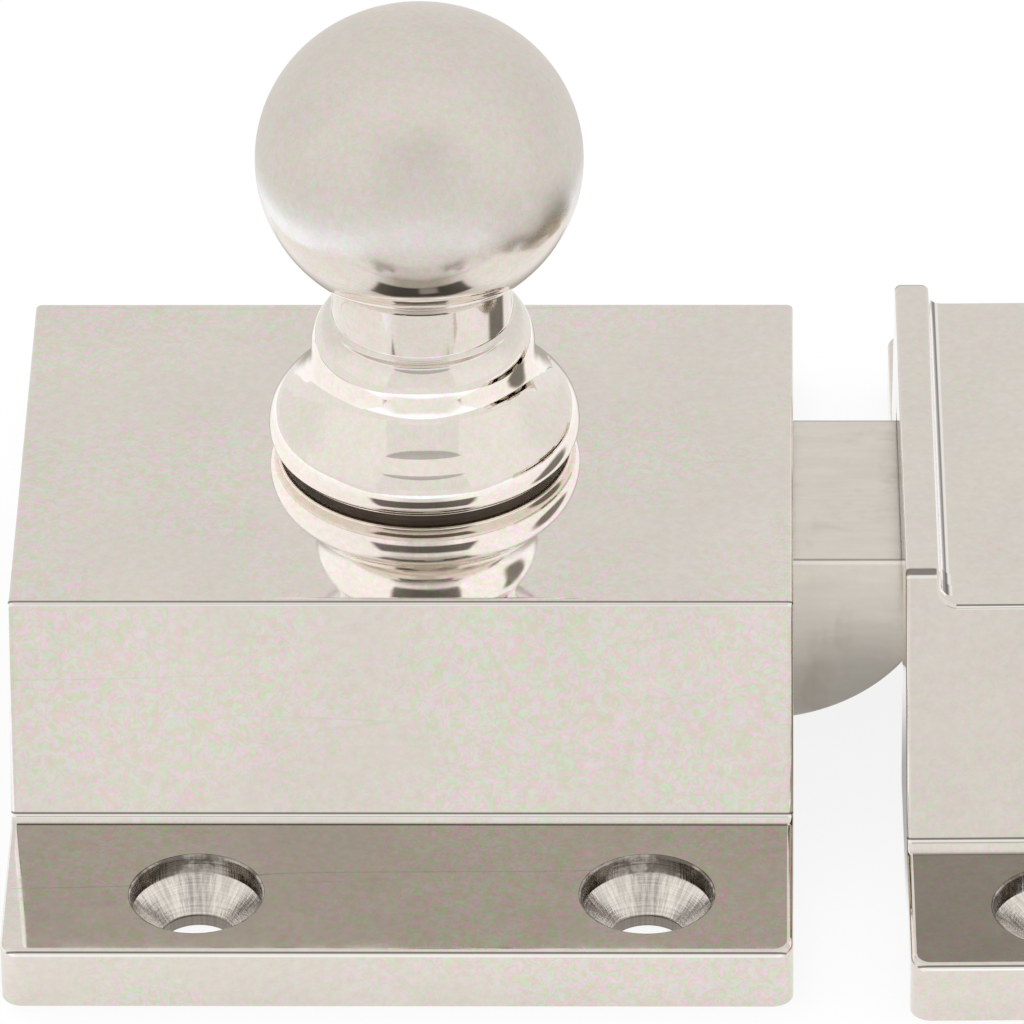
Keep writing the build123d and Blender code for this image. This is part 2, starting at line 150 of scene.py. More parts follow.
class LatchCaseSizes(bpy.types.PropertyGroup):
    """Sizes of the latch case."""
    height: length("Height", "From the door to the case's top", 16)
    top_depth: length("Top depth", "Depth of the flat top", 31)
    foot_depth: length("Foot depth", "Depth between the feet of the flanks", 39.4)
    flange: length("Flange", "Thickness of the flanges", 3.75)
    foot_round: length("Foot fillet", "Hollow rounding between flank and flange", 0.6)
    wall: length("Wall", "Thickness of roof, sides and left wall", 2.2)
    bolt_wall: length("Bolt wall", "Thickness of the wall that the bolt passes", 3)
    hole_pitch: length("Hole pitch", "Between the holes of one row", 25.4)
    post: length("Post", "Diameter of the posts that take the plate's screws", 5)
    post_sunk: length("Post sunk", "How far a post stands inside the walls", 0.3)
    pilot: length("Pilot hole", "Diameter of the plate's screw holes", 2.54)
    pilot_top: length("Pilot top", "Height where the plate's screw holes end", 7)
    plate_top: length("Plate rebate", "Height of the back plate's inner side", 1.8)
    plate_corner: length("Plate corner", "Rounding of the rebate's corners", 1.6)
    ledge: length("Ledge", "Width of the step that the back plate rests on", 1.1)
    mouth_half: length("Mouth half width", "Half of the opening for the bolt", 7.35)
    mouth_height: length("Mouth height", "Top of the opening for the bolt", 13.35)
    bore: length("Bore", "Diameter of the hole for the spindle", 7.1)
    pocket: length("Spring pocket", "Diameter of the pocket for the spring", 8)
    pocket_depth: length("Pocket depth", "Depth of the pocket for the spring", 0.8)
    rib: length("Rib", "Thickness of the two ribs that guide the bolt's lug", 1.5)
    rib_near: length("Near rib", "Place of the near rib across the bolt", -6.65)
    rib_far: length("Far rib", "Place of the far rib across the bolt", 5.15)
    rib_end: length("Rib end", "Place along the bolt where the ribs end", -4.9)
    rib_bottom: length("Rib bottom", "Height of the ribs' lower side", 9)


class LatchKeeperSizes(bpy.types.PropertyGroup):
    """Sizes of the keeper."""
    left: length("Left side", "Place of the keeper's left side before its slight turn", 27.07)
    shift: length("Shift", "Offset of the keeper's middle along the flanges", -1.34)
    width: length("Width", "Along the bolt's travel", 17)
    height: length("Height", "From the door to the keeper's top", 16.8)
    top_depth: length("Top depth", "Depth of the flat top", 31.4)
    foot_depth: length("Foot depth", "Depth between the feet of the flanks", 42.4)
    flange: length("Flange", "Thickness of the flanges", 3.8)
    foot_round: length("Foot fillet", "Hollow rounding between flank and flange", 0.9)
    hole: length("Hole place", "From the left side to the mounting holes", 8.5)
    wall: length("Wall", "Thickness of the walls", 2.2)
    lip_width: length("Lip width", "Width of the raised lip", 2.0)
    lip_height: length("Lip height", "How far the lip stands up", 1.8)
    lip_root: length("Lip root", "Rounding where the lip leaves the top", 0.85)
    lip_crest: length("Lip crest", "Rounding of the lip's inner top edge", 0.5)
    mouth_half: length("Mouth half width", "Half of the opening for the bolt", 9)
    mouth_height: length("Mouth height", "Top of the opening for the bolt", 13.9)


class LatchKnobSizes(bpy.types.PropertyGroup):
    """Sizes of the turned knob. Heights are over the case's top."""
    axis_x: length("Axis X", "Place of the knob's axis along the bolt", -0.3)
    axis_y: length("Axis Y", "Place of the knob's axis across the bolt", 0.9)
    seat: length("Seat", "Thickness of the thrust washer under the foot", 0.4)
    washer: length("Thrust washer", "Diameter of the thrust washer", 16.6)
    washer_hole: length("Washer hole", "Diameter of the washer's hole", 7.2)
    washer_rim: length("Washer rim", "Rounding of the washer's rim", 0.08)
    foot: length("Foot", "Radius of the foot", 8.5)
    foot_rim: length("Foot rim", "Rounding of the foot's rim", 0.12)
    collar: length("Collar", "Radius of the collar", 6.42)
    collar_top: length("Collar top", "Radius of the collar's upper end", 5.6)
    collar_start: length("Collar start", "Height of the collar's lower end", 6.8)
    collar_end: length("Collar end", "Height of the collar's upper end", 8.75)
    neck: length("Neck", "Radius of the neck", 5.2)
    ball: length("Ball", "Radius of the ball", 9.35)
    ball_side: length("Ball side", "Radius of the ball's side in section", 8.5)
    ball_half: length("Ball half height", "Half of the flattened ball's height", 8.78)
    ball_height: length("Ball centre", "Height of the ball's centre", 19.21)
    socket: length("Socket", "Diameter of the socket for the spindle", 6.04)
    socket_depth: length("Socket depth", "Depth of the socket", 8.02)
    steps: IntProperty(name="Steps", description="Faces round the knob", default=160, min=24, max=256)


class LatchBoltSizes(bpy.types.PropertyGroup):
    """Sizes of the spring bolt."""
    width: length("Width", "Width of the bolt's head", 14.4)
    bottom: length("Bottom", "Height of the bolt's underside", 2)
    top: length("Top", "Height of the bolt's top", 13.2)
    tip: length("Tip", "Place of the bolt's tip at rest", 29.55)
    nose: length("Nose", "Radius of the rounded underside", 10.6)
    head_left: length("Head", "Left end of the full head", 12.8)
    shoulder: length("Shoulder", "Right side of the shoulder bar", 17.9)
    shoulder_length: length("Shoulder length", "Length of the shoulder bar", 2.9)
    shoulder_half: length("Shoulder half width", "Half width of the shoulder bar", 9.5)
    tail_top: length("Tail", "Height of the tail's top", 8.6)
    bar_left: length("Crossbar left", "Left side of the crossbar", -8.4)
    bar_right: length("Crossbar right", "Right side of the crossbar", -5.4)
    bar_side: length("Crossbar side", "Far side of the crossbar", 9.4)
    rail_side: length("Rail side", "Inner side of the rail", -4.2)
    pad_end: length("Pad end", "Right end of the cam's pad", -0.95)
    pad_side: length("Pad side", "Inner side of the cam's pad", 5.85)
    lug_half: length("Lug half width", "Half width of the lug between the ribs", 5)
    lug_top: length("Lug top", "Height of the lug's top", 11.5)
    pin_hole: length("Pin hole", "Diameter of the hole for the spring's pin", 4.04)
    pin_depth: length("Pin depth", "Depth of the hole for the spring's pin", 2.4)
    edge_round: length("Edge", "Rounding of the head's edges", 0.22)
    spring_wire: length("Spring wire", "Diameter of the spring's wire", 0.5)
    spring_turns: IntProperty(name="Spring turns", description="Turns of the spring", default=6, min=2,
                              max=12)


class LatchFinishes(bpy.types.PropertyGroup):
    """Colours and strengths of the finishes."""
    nickel: colour("Polished nickel", "Colour of the polished plating", (0.78, 0.726, 0.656))
    satin: colour("Satin nickel", "Colour of the bolt", (0.745, 0.695, 0.62))
    steel: colour("Plain steel", "Colour of spindle, cam, pin and spring", (0.45, 0.44, 0.43))
    zinc: colour("Zinc plate", "Colour of the back plate and its screws", (0.62, 0.63, 0.64))
    nylon: colour("Washer", "Colour of the thrust washer", (0.06, 0.045, 0.032))
    film: share("Plating film", "Strength of the faint colours on the plating", 0.145)
    ball_haze: share("Ball haze", "Roughness of the upper ball, which is buffed less than the foot", 0.34)
    polish: share("Polish", "Roughness of the polished plating", 0.045)


class LatchStudio(bpy.types.PropertyGroup):
    """Studio round the object."""
    tent: share("Tent", "Brightness of the white surroundings", 1.13, 3)
    mirrored: share("Mirrored tent", "Brightness of the surroundings in reflections", 0.84, 3)
    table: share("Table", "Brightness of the table in front of the object, in reflections", 0.92, 3)
    table_sides: share("Table sides", "Brightness of the table beside the object, in reflections", 1.35, 3)
    table_edge: length("Table edge", "How far the bright table reaches from the object's middle", 72)
    overhead: share("Overhead lights", "Brightness of the lights above, in second reflections", 1.4, 3)
    floor: colour("Floor", "Colour of the pale floor", (0.9, 0.9, 0.9))
    floor_size: length("Floor size", "Side of the square floor", 6000)
    focal: FloatProperty(name="Focal length", description="Focal length for a 36 mm wide sensor",
                         default=417.11, unit="CAMERA")


GROUPS = {
    "latch_shared": LatchSharedSizes,
    "latch_case": LatchCaseSizes,
    "latch_keeper": LatchKeeperSizes,
    "latch_knob": LatchKnobSizes,
    "latch_bolt": LatchBoltSizes,
    "latch_finishes": LatchFinishes,
    "latch_studio": LatchStudio,
}


# Node helpers


class Signal:
    """Output of a shader node. Sums, products and the like of signals are further nodes."""

    def __init__(self, socket):
        self.socket = socket
        self.tree = socket.id_data

    def __add__(self, other):
        return maths("ADD", self, other)

    def __sub__(self, other):
        return maths("SUBTRACT", self, other)

    def __rsub__(self, other):
        return maths("SUBTRACT", other, self)

    def __mul__(self, other):
        return maths("MULTIPLY", self, other)

    def __truediv__(self, other):
        return maths("DIVIDE", self, other)

    def __abs__(self):
        return maths("ABSOLUTE", self)

    __radd__ = __add__
    __rmul__ = __mul__


def tree_of(*values):
    """Node tree of the first signal among some values."""
    return next(value.tree for value in values if isinstance(value, Signal))


def plug(socket, value):
    """Feed an input socket with a signal or a plain value."""
    if isinstance(value, Signal):
        value.tree.links.new(value.socket, socket)
    else:
        socket.default_value = value


def add_node(tree, kind, inputs=None, **settings):
    """Node of a kind with its settings and inputs."""
    node = tree.nodes.new(kind)
    for key, value in settings.items():
        setattr(node, key, value)
    for key, value in (inputs or {}).items():
        plug(node.inputs[key], value)
    return node


def maths(operation, *values):
    node = add_node(tree_of(*values), "ShaderNodeMath", dict(enumerate(values)), operation=operation)
    return Signal(node.outputs[0])


def vector_maths(operation, *values):
    node = add_node(tree_of(*values), "ShaderNodeVectorMath", dict(enumerate(values)), operation=operation)
    return Signal(node.outputs["Value" if operation in ("LENGTH", "DOT_PRODUCT") else "Vector"])


def split(vector):
    """X, Y and Z of a vector."""
    return [Signal(part) for part in add_node(vector.tree, "ShaderNodeSeparateXYZ", {0: vector}).outputs]


def joined(x, y, z=0.0):
    """Vector from its three parts."""
    return Signal(add_node(tree_of(x, y, z), "ShaderNodeCombineXYZ", {0: x, 1: y, 2: z}).outputs[0])


def coloured(red, green, blue):
    """Colour from its three channels."""
    node = add_node(tree_of(red, green, blue), "ShaderNodeCombineColor", {0: red, 1: green, 2: blue})
    return Signal(node.outputs[0])


def grey(value):
    return coloured(value, value, value)


def step(value, low, high, start=0.0, end=1.0):
    """Smooth change from start to end while value goes from low to high."""
    node = add_node(value.tree, "ShaderNodeMapRange", {"Value": value, "From Min": low, "From Max": high,
                                                       "To Min": start, "To Max": end},
                    interpolation_type="SMOOTHSTEP")
    return Signal(node.outputs["Result"])


def above(value, limit, soft):
    """1 over a limit, with a soft edge."""
    return step(value, limit - soft, limit + soft)


def below(value, limit, soft):
    """1 under a limit, with a soft edge."""
    return step(value, limit - soft, limit + soft, 1.0, 0.0)


def band(value, low, high, soft):
    """1 between low and high, with soft edges."""
    return above(value, low, soft) * below(value, high, soft)


def noise(vector, scale, detail=2.0, roughness=0.5, distortion=0.0):
    node = add_node(vector.tree, "ShaderNodeTexNoise", {"Vector": vector, "Scale": scale, "Detail": detail,
                                                        "Roughness": roughness, "Distortion": distortion})
    return Signal(node.outputs["Fac"])


def mixed(first, second, share_of_second, mode="MIX"):
    """Colour between two colours, or their product in the mode MULTIPLY."""
    node = add_node(tree_of(share_of_second, first, second), "ShaderNodeMix",
                    {0: share_of_second, 6: first, 7: second}, data_type="RGBA", blend_type=mode)
    return Signal(node.outputs[2])


def tinted(first, second):
    """Product of two colours."""
    return mixed(first, second, 1.0, "MULTIPLY")


def between(first, second, share_of_second):
    """Number between two numbers."""
    node = add_node(tree_of(share_of_second, first, second), "ShaderNodeMix",
                    {0: share_of_second, 2: first, 3: second}, data_type="FLOAT")
    return Signal(node.outputs[0])


def mapped(vector, location=(0, 0, 0), rotation=(0, 0, 0), scale=(1, 1, 1), kind="POINT"):
    """Vector moved, turned and scaled."""
    inputs = {"Vector": vector, "Location": location, "Rotation": rotation, "Scale": scale}
    node = add_node(vector.tree, "ShaderNodeMapping", inputs, vector_type=kind)
    return Signal(node.outputs[0])


def bumped(height, strength, distance):
    """Normal of a surface with small heights."""
    node = add_node(height.tree, "ShaderNodeBump", {"Height": height, "Strength": strength,
                                                    "Distance": distance})
    return Signal(node.outputs[0])


# Node groups, each built once and used by several materials


VECTOR, NUMBER, COLOUR = "NodeSocketVector", "NodeSocketFloat", "NodeSocketColor"


def outputs_of(node):
    """Signals of a node's outputs, by name."""
    return {socket.name: Signal(socket) for socket in node.outputs}


def new_group(name, inputs, outputs):
    """Inputs and outputs of a new node group, given as (name, kind, default) and (name, kind)."""
    group = bpy.data.node_groups.new(name, "ShaderNodeTree")
    for label, kind, default in inputs:
        socket = group.interface.new_socket(label, in_out="INPUT", socket_type=kind)
        if default is not None:
            socket.default_value = default
    for label, kind in outputs:
        group.interface.new_socket(label, in_out="OUTPUT", socket_type=kind)
    return outputs_of(group.nodes.new("NodeGroupInput")), group.nodes.new("NodeGroupOutput").inputs


def place_group(tree, name, inputs):
    """Outputs of a node group placed in a tree, by name."""
    return outputs_of(add_node(tree, "ShaderNodeGroup", inputs, node_tree=bpy.data.node_groups[name]))


def plating_film_group():
    """Faint pink, green and cream contour lines, as thin films show on polished nickel."""
    given, made = new_group(
        "Plating film",
        [("Vector", VECTOR, None), ("Scale", NUMBER, 900.0), ("Strength", NUMBER, 0.05),
         ("Rings", NUMBER, 3.0), ("Coverage", NUMBER, 0.5), ("Mottle", NUMBER, 0.16)],
        [("Tint", COLOUR)])
    vector, scale = given["Vector"], given["Scale"]
    channels = ((0.0, 0.8), (2.7, 0.6), (0.7, 1.0))
    patch_edge = 0.14
    drift = noise(vector, scale * 0.09, 1.0)
    contour = noise(vector, scale, 1.0, 0.5, 1.0)
    phase = contour * (given["Rings"] * (2 * pi)) + drift * 6.0
    uncovered = 1.0 - given["Coverage"]
    patches = step(noise(vector, scale * 0.05, 3.0, 0.65), uncovered - patch_edge, uncovered + patch_edge)
    strength = given["Strength"] * patches
    mottle = (noise(vector, scale * 1.3, 2.0, 0.6) - 0.5) * given["Mottle"]
    plug(made["Tint"], coloured(*(maths("COSINE", phase + shift) * (strength * weight) + mottle + 1.0
                                  for shift, weight in channels)))


def hairlines_group():
    """Sparse fine scratches in two directions."""
    given, made = new_group("Hairlines", [("Vector", VECTOR, None), ("Scale", NUMBER, 200.0)],
                            [("Mask", NUMBER)])
    masks = []
    for turn, stretch, shift in ((0.35, 0.035, 0.0), (-1.05, 0.05, 3.1)):
        place = mapped(given["Vector"], (shift, shift, 0), (0.2, 0.0, turn), (stretch, 1.0, 1.0))
        ridge = abs(noise(place, given["Scale"], 2.0, 0.6, 0.15) - 0.5)
        gate = step(noise(place, given["Scale"] * 0.7, 1.0), 0.62, 0.7)
        masks.append(step(ridge, 0.0, 0.0035, 1.0, 0.0) * gate)
    plug(made["Mask"], maths("MAXIMUM", *masks))


def turning_marks_group():
    """Rings and radial scratches of a cutter that ran round the Z axis of the given vector."""
    given, made = new_group(
        "Turning marks",
        [("Vector", VECTOR, None), ("Ring scale", NUMBER, 9000.0), ("Radial scale", NUMBER, 14.0)],
        [("Rings", NUMBER), ("Radials", NUMBER)])
    x, y, z = split(given["Vector"])
    radius = maths("SQRT", x * x + y * y)
    turn = maths("ARCTAN2", y, x)
    plug(made["Rings"], noise(joined(radius, z, turn * 0.00004), given["Ring scale"], 2.0, 0.6))
    around = joined(maths("COSINE", turn), maths("SINE", turn), radius * 60.0)
    plug(made["Radials"], noise(around, given["Radial scale"], 3.0, 0.7))


def painted_edge_line_group():
    """Fine painted dark line with a painted highlight beside it along the middle of a rounded long edge; it
    stands for a dark reflection on convex edges and for shade in hollows.
    """
    given, made = new_group(
        "Painted edge line",
        [("Vector", VECTOR, None), ("Edge Y", NUMBER, 0.0), ("Edge Z", NUMBER, 0.0), ("Lean", NUMBER, 0.0),
         ("Width", NUMBER, 0.06 * MM), ("From X", NUMBER, -1.0), ("To X", NUMBER, 1.0)],
        [("Dark", NUMBER), ("Light", NUMBER)])
    x, y, z = split(given["Vector"])
    lean, width = given["Lean"], given["Width"]
    from_y, from_z = abs(y) - given["Edge Y"], z - given["Edge Z"]
    run = from_y * maths("COSINE", lean) - from_z * maths("SINE", lean)
    apart = maths("SQRT", from_y * from_y + from_z * from_z)
    close = below(apart, 0.46 * MM, 0.04 * MM) * (maths("GREATER_THAN", x, given["From X"])
                                                  * maths("LESS_THAN", x, given["To X"]))
    dark = step(abs(run), width * 0.6, width * 1.4, 1.0, 0.0)
    light = below(abs(run - (width + 0.1 * MM)), 0.09 * MM, 0.03 * MM)
    plug(made["Dark"], dark * close)
    plug(made["Light"], light * close)


# Materials


def new_tree(name):
    """Node tree of a new empty material."""
    material = bpy.data.materials.new(name)
    material.use_nodes = True
    material.node_tree.nodes.clear()
    return material.node_tree


def put_out(tree, shader, kind="ShaderNodeOutputMaterial"):
    plug(add_node(tree, kind).inputs["Surface"], Signal(shader.outputs[0]))


def object_place(tree, offset=(0, 0, 0), turn=0.0):
    """Object coordinates, centred on a point and turned about Z."""
    place = Signal(add_node(tree, "ShaderNodeTexCoord").outputs["Object"])
    return mapped(place, offset, (0, 0, turn), kind="TEXTURE") if any(offset) or turn else place


def with_painted_edge_lines(base, edges, light, dark):
    """Base colour with a painted dark line and painted highlight along each edge, given as (origin, turn,
    values) for the group.
    """
    for offset, turn, values in edges:
        place = object_place(base.tree, offset, turn)
        line = place_group(base.tree, "Painted edge line", {"Vector": place, **values})
        base = mixed(base, EDGE_PAINTED_HIGHLIGHT, line["Light"] * light)
        base = mixed(base, EDGE_PAINTED_DARK_LINE, line["Dark"] * dark)
    return base


def polished_nickel(name, film_scale, film_share, coverage, rings, waviness=0.4, on_knob=False, edges=()):
    """Mirror-like plating: faint film, waviness, hairlines and haze, with more haze on the knob's ball, a
    painted sheen that lightens the knob's foot, and painted lines along rounded edges.
    """
    finish = bpy.context.scene.latch_finishes
    tree = new_tree(name)
    place = object_place(tree)
    film = place_group(tree, "Plating film", {"Vector": place, "Scale": film_scale,
                                              "Strength": finish.film * film_share, "Rings": rings,
                                              "Coverage": coverage})
    scratches = place_group(tree, "Hairlines", {"Vector": place, "Scale": 160.0})["Mask"]
    base = tinted((*finish.nickel, 1.0), film["Tint"])
    base = tinted(base, grey(step(noise(place, 90.0, 3.0, 0.6), 0.3, 0.7, 0.975, 1.02)))
    base = mixed(base, SCRATCH, scratches * 0.45)
    haze = step(noise(place, 380.0, 4.0, 0.65), 0.35, 0.75, finish.polish * 0.75, finish.polish * 1.9)
    rough = haze + scratches * 0.12
    if on_knob:
        height_above = split(place)[2]
        rough = rough + step(height_above, *HAZE_RISE, 0.0, finish.ball_haze)
        # Painted sheen: the knob's foot is lightened and the ball above it slightly darkened, by height
        base = tinted(base, grey(step(height_above, *FOOT_PAINTED_SHEEN_END, 1.12, 0.96)))
    # Painted reflection lines along the rounded edges: a dark line with a painted highlight beside it
    base = with_painted_edge_lines(base, edges, 0.8, 0.85)
    height = noise(place, 110.0, 1.0, 0.4) * waviness + noise(place, 1500.0, 2.0, 0.6) * 0.012
    height = height - scratches * 0.02
    put_out(tree, add_node(tree, "ShaderNodeBsdfPrincipled", {
        "Base Color": base, "Metallic": 1.0, "Roughness": rough, "Normal": bumped(height, 0.35, 0.06 * MM)}))


def turned_recess(name, flange, middles, offset=(0, 0, 0), turn=0.0):
    """Bare turned metal of the countersunk holes, with rings and radial scratches about their middles, and
    painted shade on the recess's upright wall and towards the through hole.

    The middles lie at plus and minus the given X and Y from offset, in a frame turned about Z."""
    finish = bpy.context.scene.latch_finishes
    tree = new_tree(name)
    place = object_place(tree, offset, turn)
    folded_x, folded_y, height_above = split(vector_maths("ABSOLUTE", place))
    across_x = folded_x - middles[0] if middles[0] else split(place)[0]
    marks = place_group(tree, "Turning marks",
                        {"Vector": joined(across_x, folded_y - middles[1], height_above)})
    rings, radials = step(marks["Rings"], 0.35, 0.65), step(marks["Radials"], 0.35, 0.65)
    base = mixed((*[c * 0.72 for c in finish.nickel], 1.0), (*[c * 1.2 for c in finish.nickel], 1.0),
                 (radials + rings * 0.4) * 0.7)
    cone_top, cone_end = recess_heights(flange)
    # Painted shade: the upright wall darkens, unevenly by a noise, and the cone darkens towards the through
    # hole
    wall = step(height_above, cone_top - 0.05 * MM, cone_top + 0.1 * MM)
    stains = step(noise(place, 700.0, 3.0, 0.7), 0.4, 0.6, 0.45, 0.9)
    bore = step(height_above, cone_end - 0.1 * MM, cone_end + 0.1 * MM, 0.75, 0.0)
    base = mixed(base, RECESS_PAINTED_SHADE, maths("MAXIMUM", wall * stains, bore))
    height = marks["Rings"] * 0.6 + marks["Radials"]
    put_out(tree, add_node(tree, "ShaderNodeBsdfPrincipled", {
        "Base Color": base, "Metallic": 1.0, "Roughness": step(marks["Radials"], 0.3, 0.7, 0.08, 0.2),
        "Normal": bumped(height, 0.4, 0.05 * MM)}))


def brushed_metal(name, base_colour, stretch, rough, stain, edges=()):
    """Satin metal with fine lines along one direction, soft stains and slight darkening, and painted dark
    lines with painted highlights along the given edges.
    """
    tree = new_tree(name)
    place = object_place(tree)
    lines = noise(mapped(place, scale=stretch), 900.0, 3.0, 0.65)
    cloud = noise(place, 170.0, 4.0, 0.6, 0.4)
    streaks = step(noise(mapped(place, scale=(1.0, 1.0, 0.22)), 420.0, 3.0, 0.6), 0.5, 0.72)
    scratches = place_group(tree, "Hairlines", {"Vector": place, "Scale": 260.0})["Mask"]
    darker = (base_colour[0] * 0.7, base_colour[1] * 0.64, base_colour[2] * 0.55, 1.0)
    base = tinted((*base_colour, 1.0), grey(step(lines, 0.3, 0.7, 0.965, 1.03)))
    base = mixed(base, darker, streaks * step(cloud, 0.42, 0.62) * stain)
    # Painted dark line with a painted highlight along the given edges
    base = with_painted_edge_lines(base, edges, 0.5, 0.6)
    put_out(tree, add_node(tree, "ShaderNodeBsdfPrincipled", {
        "Base Color": base, "Metallic": 1.0,
        "Roughness": step(cloud, 0.3, 0.75, rough * 0.8, rough * 1.25) + scratches * 0.1,
        "Normal": bumped(lines - scratches * 0.6, 0.25, 0.02 * MM)}))


def dark_plastic(name, base_colour):
    """Moulded washer plastic with a fine grain."""
    tree = new_tree(name)
    place = object_place(tree)
    grain = noise(place, 2500.0, 2.0, 0.6)
    base = mixed((*base_colour, 1.0), (*[c * 1.6 for c in base_colour], 1.0),
                 step(noise(place, 300.0, 3.0), 0.3, 0.7))
    put_out(tree, add_node(tree, "ShaderNodeBsdfPrincipled", {
        "Base Color": base, "Roughness": step(grain, 0.3, 0.7, 0.42, 0.6), "Specular IOR Level": 0.25,
        "Normal": bumped(grain, 0.3, 0.02 * MM)}))


# Mesh helpers


def prism(points, at, run):
    """Closed solid from flat points, placed by at(first, second) and pulled by a vector."""
    bm = bmesh.new()
    face = bm.faces.new([bm.verts.new(at(a, b)) for a, b in points])
    made = bmesh.ops.extrude_face_region(bm, geom=[face])
    moved = [v for v in made["geom"] if isinstance(v, bmesh.types.BMVert)]
    bmesh.ops.translate(bm, verts=moved, vec=run)
    bmesh.ops.recalc_face_normals(bm, faces=bm.faces)
    return bm


def mirrored(half):
    """Outline from the points of one half, mirrored across the middle."""
    return half + [(-y, z) for y, z in reversed(half)]


def round_edges(bm, test, offset, segments=ROUND_SEGMENTS):
    """Bevel the edges that a test picks."""
    edges = [e for e in bm.edges if test(e)]
    if not edges:
        raise RuntimeError("no edge to round")
    bmesh.ops.bevel(bm, geom=edges, offset=offset, offset_type="OFFSET", segments=segments, profile=0.5,
                    affect="EDGES", material=-1, clamp_overlap=True)
    bmesh.ops.recalc_face_normals(bm, faces=bm.faces)


def middle(edge):
    return (edge.verts[0].co + edge.verts[1].co) / 2


def near(value, goal):
    return abs(value - goal) < 0.01 * MM


def along(edge, axis):
    """True for an edge that runs along an axis, 0 for X to 2 for Z."""
    run = edge.verts[1].co - edge.verts[0].co
    return abs(run[axis]) > 0.99 * run.length


def arc(centre, radius, start, end, steps):
    """Points of an arc in a plane, both ends kept; angles in radians."""
    return [(centre[0] + radius * cos(start + (end - start) * i / steps),
             centre[1] + radius * sin(start + (end - start) * i / steps)) for i in range(steps + 1)]


def turned(points, steps, axis=(0.0, 0.0)):
    """Solid turned round an upright axis from (radius, height) points, closed at both ends."""
    bm = bmesh.new()
    verts = [bm.verts.new((axis[0] + r, axis[1], z)) for r, z in points]
    edges = [bm.edges.new(pair) for pair in zip(verts, verts[1:])]
    bmesh.ops.spin(bm, geom=verts + edges, cent=(*axis, 0), axis=(0, 0, 1), angle=2 * pi, steps=steps,
                   use_merge=True)
    bmesh.ops.remove_doubles(bm, verts=bm.verts, dist=0.0005 * MM)
    bmesh.ops.recalc_face_normals(bm, faces=bm.faces)
    return bm


def cylinder(diameter, z0, z1, x=0.0, y=0.0, steps=48):
    bm = bmesh.new()
    bmesh.ops.create_cone(bm, cap_ends=True, segments=steps, radius1=diameter / 2, radius2=diameter / 2,
                          depth=z1 - z0, matrix=Matrix.Translation((x, y, (z0 + z1) / 2)))
    return bm


def lying_cylinder(diameter, x, run, z):
    """Cylinder along X, from a place at a height."""
    bm = cylinder(diameter, 0, run)
    place = Matrix.Translation((x, 0, z)) @ Matrix.Rotation(pi / 2, 4, "Y")
    bmesh.ops.transform(bm, verts=bm.verts, matrix=place)
    return bm


def brick(x0, x1, y0, y1, z0, z1):
    bm = bmesh.new()
    centre = Matrix.Translation(((x0 + x1) / 2, (y0 + y1) / 2, (z0 + z1) / 2))
    bmesh.ops.create_cube(bm, size=1, matrix=centre @ Matrix.Diagonal((x1 - x0, y1 - y0, z1 - z0, 1)))
    return bm


def as_object(bm, name, material):
    """Object at the origin from a mesh, with one material."""
    mesh = bpy.data.meshes.new(name)
    bm.to_mesh(mesh)
    bm.free()
    mesh.materials.append(material)
    made = bpy.data.objects.new(name, mesh)
    bpy.context.scene.collection.objects.link(made)
    return made


def settle(piece):
    """Turn a piece's modifiers into its mesh."""
    graph = bpy.context.evaluated_depsgraph_get()
    mesh = bpy.data.meshes.new_from_object(piece.evaluated_get(graph), preserve_all_data_layers=True,
                                           depsgraph=graph)
    old = piece.data
    piece.modifiers.clear()
    piece.data = mesh
    bpy.data.meshes.remove(old)


def combine(piece, forms, material, operation="DIFFERENCE"):
    """Cut solids out of a piece or join them to it. Meshes get the material; all are removed afterwards."""
    others = [form if isinstance(form, bpy.types.Object) else as_object(form, "cutter", material)
              for form in forms]
    for other in others:
        change = piece.modifiers.new("Shape", "BOOLEAN")
        change.operation = operation
        change.solver = "EXACT"
        change.material_mode = "TRANSFER"
        change.object = other
    settle(piece)
    for other in others:
        mesh = other.data
        bpy.data.objects.remove(other)
        bpy.data.meshes.remove(mesh)


def even_shading(piece, angle=35.0):
    """Smooth shading that keeps flat faces flat beside their rounded edges."""
    mesh = piece.data
    bm = bmesh.new()
    bm.from_mesh(mesh)
    bmesh.ops.remove_doubles(bm, verts=bm.verts, dist=0.001 * MM)
    bmesh.ops.dissolve_degenerate(bm, edges=bm.edges, dist=0.0005 * MM)
    for face in bm.faces:
        face.smooth = True
    for edge in bm.edges:
        edge.smooth = not (len(edge.link_faces) == 2 and edge.calc_face_angle(0) > radians(angle))
    bm.to_mesh(mesh)
    bm.free()
    keep = piece.modifiers.new("Shading", "WEIGHTED_NORMAL")
    keep.mode = "FACE_AREA"
    keep.weight = 100
    keep.keep_sharp = True
    settle(piece)


def flank(sizes):
    """Angle at which a hood's flank leans, and how far its foot fillet reaches along each face."""
    lean = atan2((sizes.foot_depth - sizes.top_depth) / 2, sizes.height - sizes.flange)
    return lean, sizes.foot_round * tan((pi / 2 - lean) / 2)


def hood(left, width, height, top_depth, sizes):
    """Form shared by case and keeper: flat top, sloping flanks and two flanges."""
    shared = bpy.context.scene.latch_shared
    flange, foot_y, edge_y = sizes.flange, sizes.foot_depth / 2, shared.depth / 2
    half = [(top_depth / 2, height), (foot_y, flange), (edge_y, flange), (edge_y, 0.0)]
    bm = prism(mirrored(half), lambda y, z: (left, y, z), (width, 0, 0))
    round_edges(bm, lambda e: along(e, 2) and near(abs(middle(e).y), edge_y), shared.corner_round, 10)
    round_edges(bm, lambda e: along(e, 0) and near(middle(e).z, flange) and near(abs(middle(e).y), foot_y),
                flank(sizes)[1], 8)
    return bm


